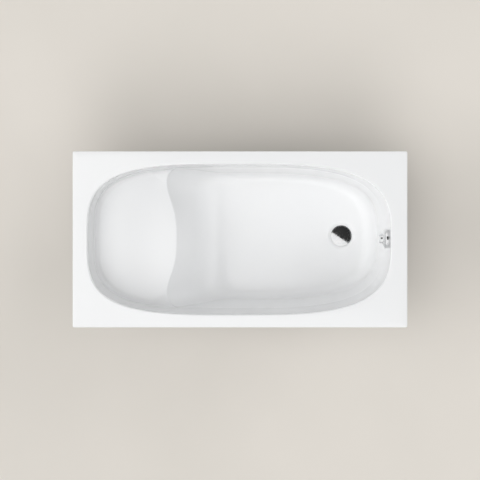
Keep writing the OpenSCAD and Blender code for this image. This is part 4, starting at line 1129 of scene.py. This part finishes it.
def make_plug():
    dome = [(PLUG_R * k / DOME_STEPS,
             COVER_LOW + PLUG_EDGE + PLUG_CROWN * (1 - (k / DOME_STEPS) ** 2))
            for k in range(DOME_STEPS - 1, -1, -1)]
    Form(AT_DRAIN).turned(
        [(0, COVER_LOW), (STEM_R + TOUCH, COVER_LOW), (STEM_R + TOUCH, BOSS_LOW),
         (BOSS_R, BOSS_LOW, 0.5), (BOSS_R, COVER_LOW, 0.4), (PLUG_R - 0.6, COVER_LOW, 0.3),
         (PLUG_R, COVER_LOW + PLUG_EDGE, 0.8)] + dome, FINE_SIDES).make("plug_dome", "plug_cover")
    low, high, r = BOSS_LOW + TOUCH, COVER_LOW - TOUCH, THROAT_BORE - 0.4
    Form(AT_DRAIN).turned(
        [(BOSS_R + TOUCH, low, 0.4), (r - 4, low, 0.6), (r - 1.6, low + 1.6, 0.6),
         (r, low + 1.8, 0.5), (r, low + LIP_SEAL_T, 0.5), (r - 1.6, low + LIP_SEAL_T + 0.2, 0.5),
         (r - 2, high, 0.4), (BOSS_R + TOUCH, high, 0.3)]).make("plug_lip_seal", "plug_seal")


def make_waste_seal():
    low = -DISH_DEPTH + TOUCH
    Form(AT_DRAIN).ring(HOLE_R + 1, FLANGE_R - 2, low, low + SEAL_T, 0.35).make(
        "waste_top_seal", "waste_seal")


def make_gasket(place, face, wide, name, node):
    """Gasket under the sheet whose upper face is at the height face, with a groove outside."""
    low, inner, outer = face - SHELL_T - TOUCH - GASKET_T, HOLE_R + 0.5, HOLE_R + wide
    Form(place).turned(
        [(inner, low, 0.4), (outer, low, 0.6), (outer, low + 1.1, 0.3),
         (outer - 0.8, low + 1.5, 0.3), (outer, low + 1.9, 0.3), (outer, low + GASKET_T, 0.6),
         (inner, low + GASKET_T, 0.4)]).make(name, node)


# Overflow
KNOB_R, GRIP_R, KNOB_DEEP, SPINDLE_R = 38.0, 20.0, 36.0, 4.0
KNOB_BACK, KNOB_FACE = 9.5, 8


def make_knob():
    Form(AT_OVERFLOW).turned([
        (0, KNOB_DEEP - KNOB_FACE), (SPINDLE_R + TOUCH, KNOB_DEEP - KNOB_FACE),
        (SPINDLE_R + TOUCH, KNOB_BACK, 0.4), (KNOB_R - 4, KNOB_BACK, 1.5),
        (KNOB_R - 2, 3, 0.4), (KNOB_R, 4, 0.7), (KNOB_R, 11, 2.5), (KNOB_R - 2, 15, 4),
        (KNOB_R - 6, 18, 9), (GRIP_R + 6, 20.5, 9), (GRIP_R + 2, 22.5, 3), (GRIP_R + 0.5, 25, 4),
        (GRIP_R, KNOB_DEEP - 4, 4), (GRIP_R - 1.2, KNOB_DEEP - 1.2, 1.5),
        (GRIP_R - 4, KNOB_DEEP, 2.5), (0, KNOB_DEEP)], FINE_SIDES).make(
            "turn_knob", "overflow_knob")


# Supports
BAR_W, BAR_H, SEAT_BAR_IN, FLOOR_BAR_IN = 40.0, 35.0, 235, 365
PAD_T, PAD_HALF, PAD_CORNER, SOFT_EDGE = 4.0, 38, 4, 0.9
MAT_T, MAT_GAP, MAT_BACK, MAT_CORNER = 2.5, 14, 34, 9
SEAT_MAT_HALF, FLOOR_MAT_HALF, FLOOR_MAT_LEN = 150, 100, 180
SEAT_BAR_X, FLOOR_BAR_X = SEAT_BAR_IN - RIM_LEN / 2, RIM_LEN / 2 - FLOOR_BAR_IN
SEAT_FOOT_Y, FLOOR_FOOT_Y, PAD_Y, WELD_Y = 215.0, 190.0, 110.0, 40.0
UNDER = SHELL_T + TOUCH
EARTH_Y, TAG_T = 100, 1.5


def floor_at(x):
    return DRAIN_Z + floor_rise(x)


def bar_top(x, face):
    return face(x + BAR_W / 2) - UNDER - PAD_T - TOUCH


SEAT_BAR_TOP, FLOOR_BAR_TOP = bar_top(SEAT_BAR_X, seat_at), bar_top(FLOOR_BAR_X, floor_at)
BARS = ((SEAT_BAR_X, SEAT_BAR_TOP, seat_at), (FLOOR_BAR_X, FLOOR_BAR_TOP, floor_at))
M6_R, M6_PITCH, M8_R, M8_PITCH = 3, 1.0, 4, 1.25


def under(top, thick=0.0):
    """Heights under the sheet whose outer face is top, less a thickness."""
    return lambda x: top(x) - UNDER - thick


def make_mats():
    edge = BAR_W / 2 + MAT_GAP
    seat_x = (SEAT_BAR_X + edge, FRONT_X - MAT_BACK)
    floor_x = (FLOOR_BAR_X - edge - FLOOR_MAT_LEN, FLOOR_BAR_X - edge)
    for name, node, x, half, top in (
            ("seat_damping_mat", "seat_mat", seat_x, SEAT_MAT_HALF, seat_at),
            ("floor_damping_mat", "floor_mat", floor_x, FLOOR_MAT_HALF, floor_at)):
        Form().slab(x, (-half, half), under(top, MAT_T), under(top), MAT_CORNER,
                    SOFT_EDGE).make(name, node)


def make_pads():
    form = Form()
    for x, low, top in BARS:
        for y in (-PAD_Y, PAD_Y):
            form.slab((x - BAR_W / 2, x + BAR_W / 2), (y - PAD_HALF, y + PAD_HALF),
                      lambda p, z=low: z + TOUCH, under(top), PAD_CORNER, SOFT_EDGE)
    form.make("crossbar_pads", "bar_pads")


def make_fasteners():
    studs, nuts = Form(), Form()
    for x, z, _ in BARS:
        for y in (-WELD_Y, WELD_Y):
            place = Matrix.Translation((x, y, z))
            studs.at(place).thread(M6_R, -10, 3.2, M6_PITCH).rod(5.5, 3, PAD_T + 2 * TOUCH)
            nuts.at(place).hexagon(5.7, -7 - TOUCH, -2 - TOUCH, M6_R + TOUCH)
    studs.make("weld_stud_threads", "weld_studs")
    nuts.make("weld_stud_hexes", "weld_stud_nuts")
    bolts = Form()
    half = BAR_W / 2 + TOUCH
    for y in (-SEAT_FOOT_Y, SEAT_FOOT_Y):
        bolts.at(quarter(SEAT_BAR_X, y, SEAT_BAR_TOP - BAR_H / 2, 90, "Y"))
        bolts.rod(M8_R, -half - 1, 8).thread(M8_R, 6, half + 7, M8_PITCH)
        bolts.hexagon(7.2, -half - 5, -half).hexagon(7.2, half, half + 5)
    bolts.make("leg_bolt_set", "leg_bolts")
    earth = Form(quarter(FLOOR_BAR_X - BAR_W / 2 - TOUCH - TAG_T, EARTH_Y,
                         FLOOR_BAR_TOP - BAR_H / 2, 90, "Y"))
    earth.thread(M6_R, -1, 15, M6_PITCH)
    earth.hexagon(5.4, -4 - TOUCH, -TOUCH).hexagon(5.4, 3.6, 8.6)
    earth.make("earth_bolt_set", "earth_bolt")


# Feet
STUD_R, STUD_PITCH, STUD_SIDES, STUD_OVER = 5.0, 1.5, 28, 27
NUT_R, NUT_H = 1.9 * STUD_R, 6
FOOT_R, FOOT_H, SOLE_T, LEG_BOTTOM = 27.0, 24.0, 4.0, 58.0
GROOVES, GROOVE_DEEP = ((11.15, 13.15), (19.25, 21.25)), 1
SOCKET_R, SOCKET_H, SOCKET_Z = 9.0, 6.0, 9.05
FEET = [(x, side * y, top) for x, y, top in (
    (SEAT_BAR_X, SEAT_FOOT_Y, LEG_BOTTOM), (FLOOR_BAR_X, FLOOR_FOOT_Y, FLOOR_BAR_TOP - BAR_H))
        for side in (-1, 1)]


def make_feet():
    nuts = Form()
    neck = SOCKET_Z + SOCKET_H + TOUCH + STAND_OFF
    grooves = [point for a, b in GROOVES for point in (
        (a, 0, 0.3), (a, GROOVE_DEEP, 0.4), (b, GROOVE_DEEP, 0.4), (b, 0, 0.3))]
    for i, (x, y, top) in enumerate(FEET, 1):
        place = Matrix.Translation((x, y, 0))
        nuts.at(place).hexagon(NUT_R, top - TOUCH - NUT_H, top - TOUCH, STUD_R + LOOSE)
        Form(place).turned(
            [(0, 0), *grooves, (FOOT_R, 0, 0.9), (FOOT_R, SOLE_T, 0.5), (0, SOLE_T)]).make(
                f"sole_{i}", f"foot_sole_{i}")
        cup = Form(place).turned([
            (0, SOLE_T + TOUCH), (FOOT_R - 2, SOLE_T + TOUCH, 0.5), (FOOT_R, SOLE_T + 3, 1),
            (FOOT_R, SOLE_T + 6, 1.5), (FOOT_R - 3, SOLE_T + 9, 1.5), (SOCKET_R + 7, FOOT_H - 2, 1.5),
            (SOCKET_R + 5, FOOT_H, 0.8), (STUD_R + LOOSE, FOOT_H, 0.5), (STUD_R + LOOSE, neck, 0.3),
            (SOCKET_R + LOOSE, neck, 0.3), (SOCKET_R + LOOSE, SOCKET_Z, 0.3), (0, SOCKET_Z)])
        cup.make(f"cup_{i}", f"foot_cup_{i}")
        stud = Form(place).thread(STUD_R, SOCKET_Z + SOCKET_H - 1, top + STUD_OVER, STUD_PITCH,
                                  STUD_SIDES)
        stud.rod(SOCKET_R, SOCKET_Z + TOUCH, SOCKET_Z + TOUCH + SOCKET_H, 0.8)
        stud.hexagon(NUT_R, FOOT_H + STAND_OFF, FOOT_H + STAND_OFF + NUT_H)
        stud.make(f"levelling_stud_{i}", f"foot_stud_{i}")
    nuts.make("lock_hexes", "lock_nuts")


# Trap
TRAP_DROP, TRAP_SPAN, PIPE_R, WASHER_T = 100, 68, 20.0, 3
SOCKET_TO, SOCKET_OUT = DRAIN_Z - TRAP_DROP + 31, PIPE_R + 4.8
OUTLET_BEND_R, OUTLET_SOCKET, OUTLET_Z, OUTLET_R, LIP_T = 28, 30, 126, PIPE_R - 0.5, 6


def make_trap_rings():
    low, bore = SOCKET_TO + TOUCH, PIPE_R + TOUCH
    for y, name, node in ((0, "trap_cone_in", "trap_washer_in"),
                          (TRAP_SPAN, "trap_cone_out", "trap_washer_out")):
        Form(Matrix.Translation((DRAIN_X, y, 0))).turned(
            [(bore, low, 0.3), (SOCKET_OUT - 2.6, low, 0.4), (SOCKET_OUT - 1, low + 1.6, 0.4),
             (SOCKET_OUT - 1, low + WASHER_T, 0.5), (bore, low + WASHER_T, 0.4)]).make(name, node)
    socket_y = TRAP_SPAN + OUTLET_BEND_R + OUTLET_SOCKET + TOUCH
    Form(quarter(DRAIN_X, socket_y, OUTLET_Z, -90, "X")).turned(
        [(OUTLET_R + TOUCH, 0, 0.4), (SOCKET_OUT, 0, 0.8), (SOCKET_OUT, 4.4, 0.8),
         (SOCKET_OUT - 2, LIP_T, 0.8), (OUTLET_R + TOUCH, LIP_T, 0.5)]).make(
             "outlet_lip_seal", "outlet_seal")


# The pieces. Those in ROUNDED keep the CAD's shape, with edges rounded by so many millimetres.
SHELL_SHARP = 50
make_hose()
make_cable()
shell = make_shell()
cut_overflow_hole(shell)
sharpen(shell, SHELL_SHARP)
make_flange()
make_plug()
make_waste_seal()
make_gasket(AT_DRAIN, -DISH_DEPTH, 15, "waste_foot_gasket", "waste_gasket")
make_knob()
make_gasket(AT_OVERFLOW, 0, 9, "overflow_foot_gasket", "overflow_gasket")
make_mats()
make_pads()
make_fasteners()
make_feet()
make_trap_rings()
ROUNDED = {
    "floor_crossbar": 1.0, "seat_crossbar": 1.0, "leg_1": 1.4, "leg_2": 1.4, "earth_tag": 0.3,
    "waste_body": 0.8, "lever_pin": 0.3, "lift_lever": 0.4, "plug_stem": 0.3, "plug_adjuster": 0.3,
    "knob_spindle": 0.3, "overflow_plate": 0.4, "overflow_screws": 0.4, "overflow_body": 0.8,
    "cable_slider": 0.4, "hose_nut_top": 0.5, "hose_nut_bottom": 0.5, "cable_clips": 0.3,
    "trap_nut_in": 0.6, "trap_nut_out": 0.6, "trap_bend": 0.6, "outlet_bend": 0.6, "outlet_pipe": 0.6,
}
for node, width in ROUNDED.items():
    soften(node, width)

# Floor and light
FLOOR_HALF, FLOOR_CELLS, FLOOR_DROP = 7.0, 8, 0.0005


def make_floor():
    look = Look("pale_floor", Roughness=0.75, Specular_IOR_Level=0.2)
    look.colour(look.noise(900, 3), (0.70, 0.665, 0.61), (0.74, 0.70, 0.645))
    look.bump(look.noise(6, 3), 0.05, 0.3)
    mesh = bpy.data.meshes.new("studio_floor")
    with Opened(mesh) as work:
        bmesh.ops.create_grid(work, x_segments=FLOOR_CELLS, y_segments=FLOOR_CELLS, size=FLOOR_HALF)
    floor = linked("studio_floor", mesh)
    floor.location = (0, 0, -FLOOR_DROP)
    mesh.materials.append(look.material)
    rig.stage(floor)


# Soft sky: an even dome with broad patches, each given by azimuth, height above the horizon,
# spread and strength, and even over CORE of its spread. Mirrored rays see an even sky instead,
# dark towards DARK_SIDE down to DARK_TO degrees from the zenith. The camera sees BACKDROP.
DOME, BACKDROP, MIRRORED = 0.2, 0.64, 1.03
PATCHES = ((180, 74, 20, 3.2), (270, 74, 20, 1.6), (180, 30, 26, 3.3), (45, 30, 26, 1.4),
           (270, 52, 24, 2.4), (0, 52, 24, 1.3))
CORE = 0.3
ZENITH, DARK_SIDE, DARK_SHARE = (0, 0, 1), (0.55, 0.83, 0.0), 0.97
DARK_FROM, SIDE_FADE, DARK_TO, TOP_FADE = -0.024, 0.004, 34, 8


def make_sky():
    world = bpy.data.worlds.new("studio")
    scene.world = world
    sky = Tree(world)
    background = sky.tree.nodes["Background"]
    sky.fill(background.inputs["Color"], (*WHITE, 1.0))
    towards = sky.node("TexCoord", {}).outputs["Generated"]

    def fade(direction, start, stop, most=1.0):
        """From 0 to most as the view turns towards a direction, between two cosines."""
        along = sky.node("VectorMath", {0: towards, 1: direction}, operation="DOT_PRODUCT")
        return sky.level(along.outputs["Value"], 0.0, most, start, stop, "SMOOTHSTEP")

    def join(operation, a, b):
        return sky.node("Math", {0: a, 1: b}, operation=operation).outputs[0]

    total = DOME
    for azimuth, height, spread, strength in PATCHES:
        direction = (cos(height) * cos(azimuth), cos(height) * sin(azimuth), sin(height))
        total = join("ADD", fade(direction, cos(spread), cos(spread * CORE), strength), total)
    side = fade(DARK_SIDE, DARK_FROM, DARK_FROM + SIDE_FADE)
    top = fade(ZENITH, cos(DARK_TO + TOP_FADE), cos(DARK_TO - TOP_FADE))
    dark = join("MULTIPLY", join("MULTIPLY", side, top), DARK_SHARE * MIRRORED)
    seen = join("SUBTRACT", MIRRORED, dark)
    ray = sky.node("LightPath", {}).outputs
    for which, other in (("Is Glossy Ray", seen), ("Is Camera Ray", BACKDROP)):
        total = join("ADD", join("MULTIPLY", total, join("SUBTRACT", 1.0, ray[which])),
                     join("MULTIPLY", ray[which], other))
    sky.fill(background.inputs["Strength"], total)


make_floor()
make_sky()

with open("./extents.json", "w") as sizes:
    json.dump({"cad": [list(v) for v in cad_box], "visual": [list(v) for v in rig.bounds()]}, sizes)
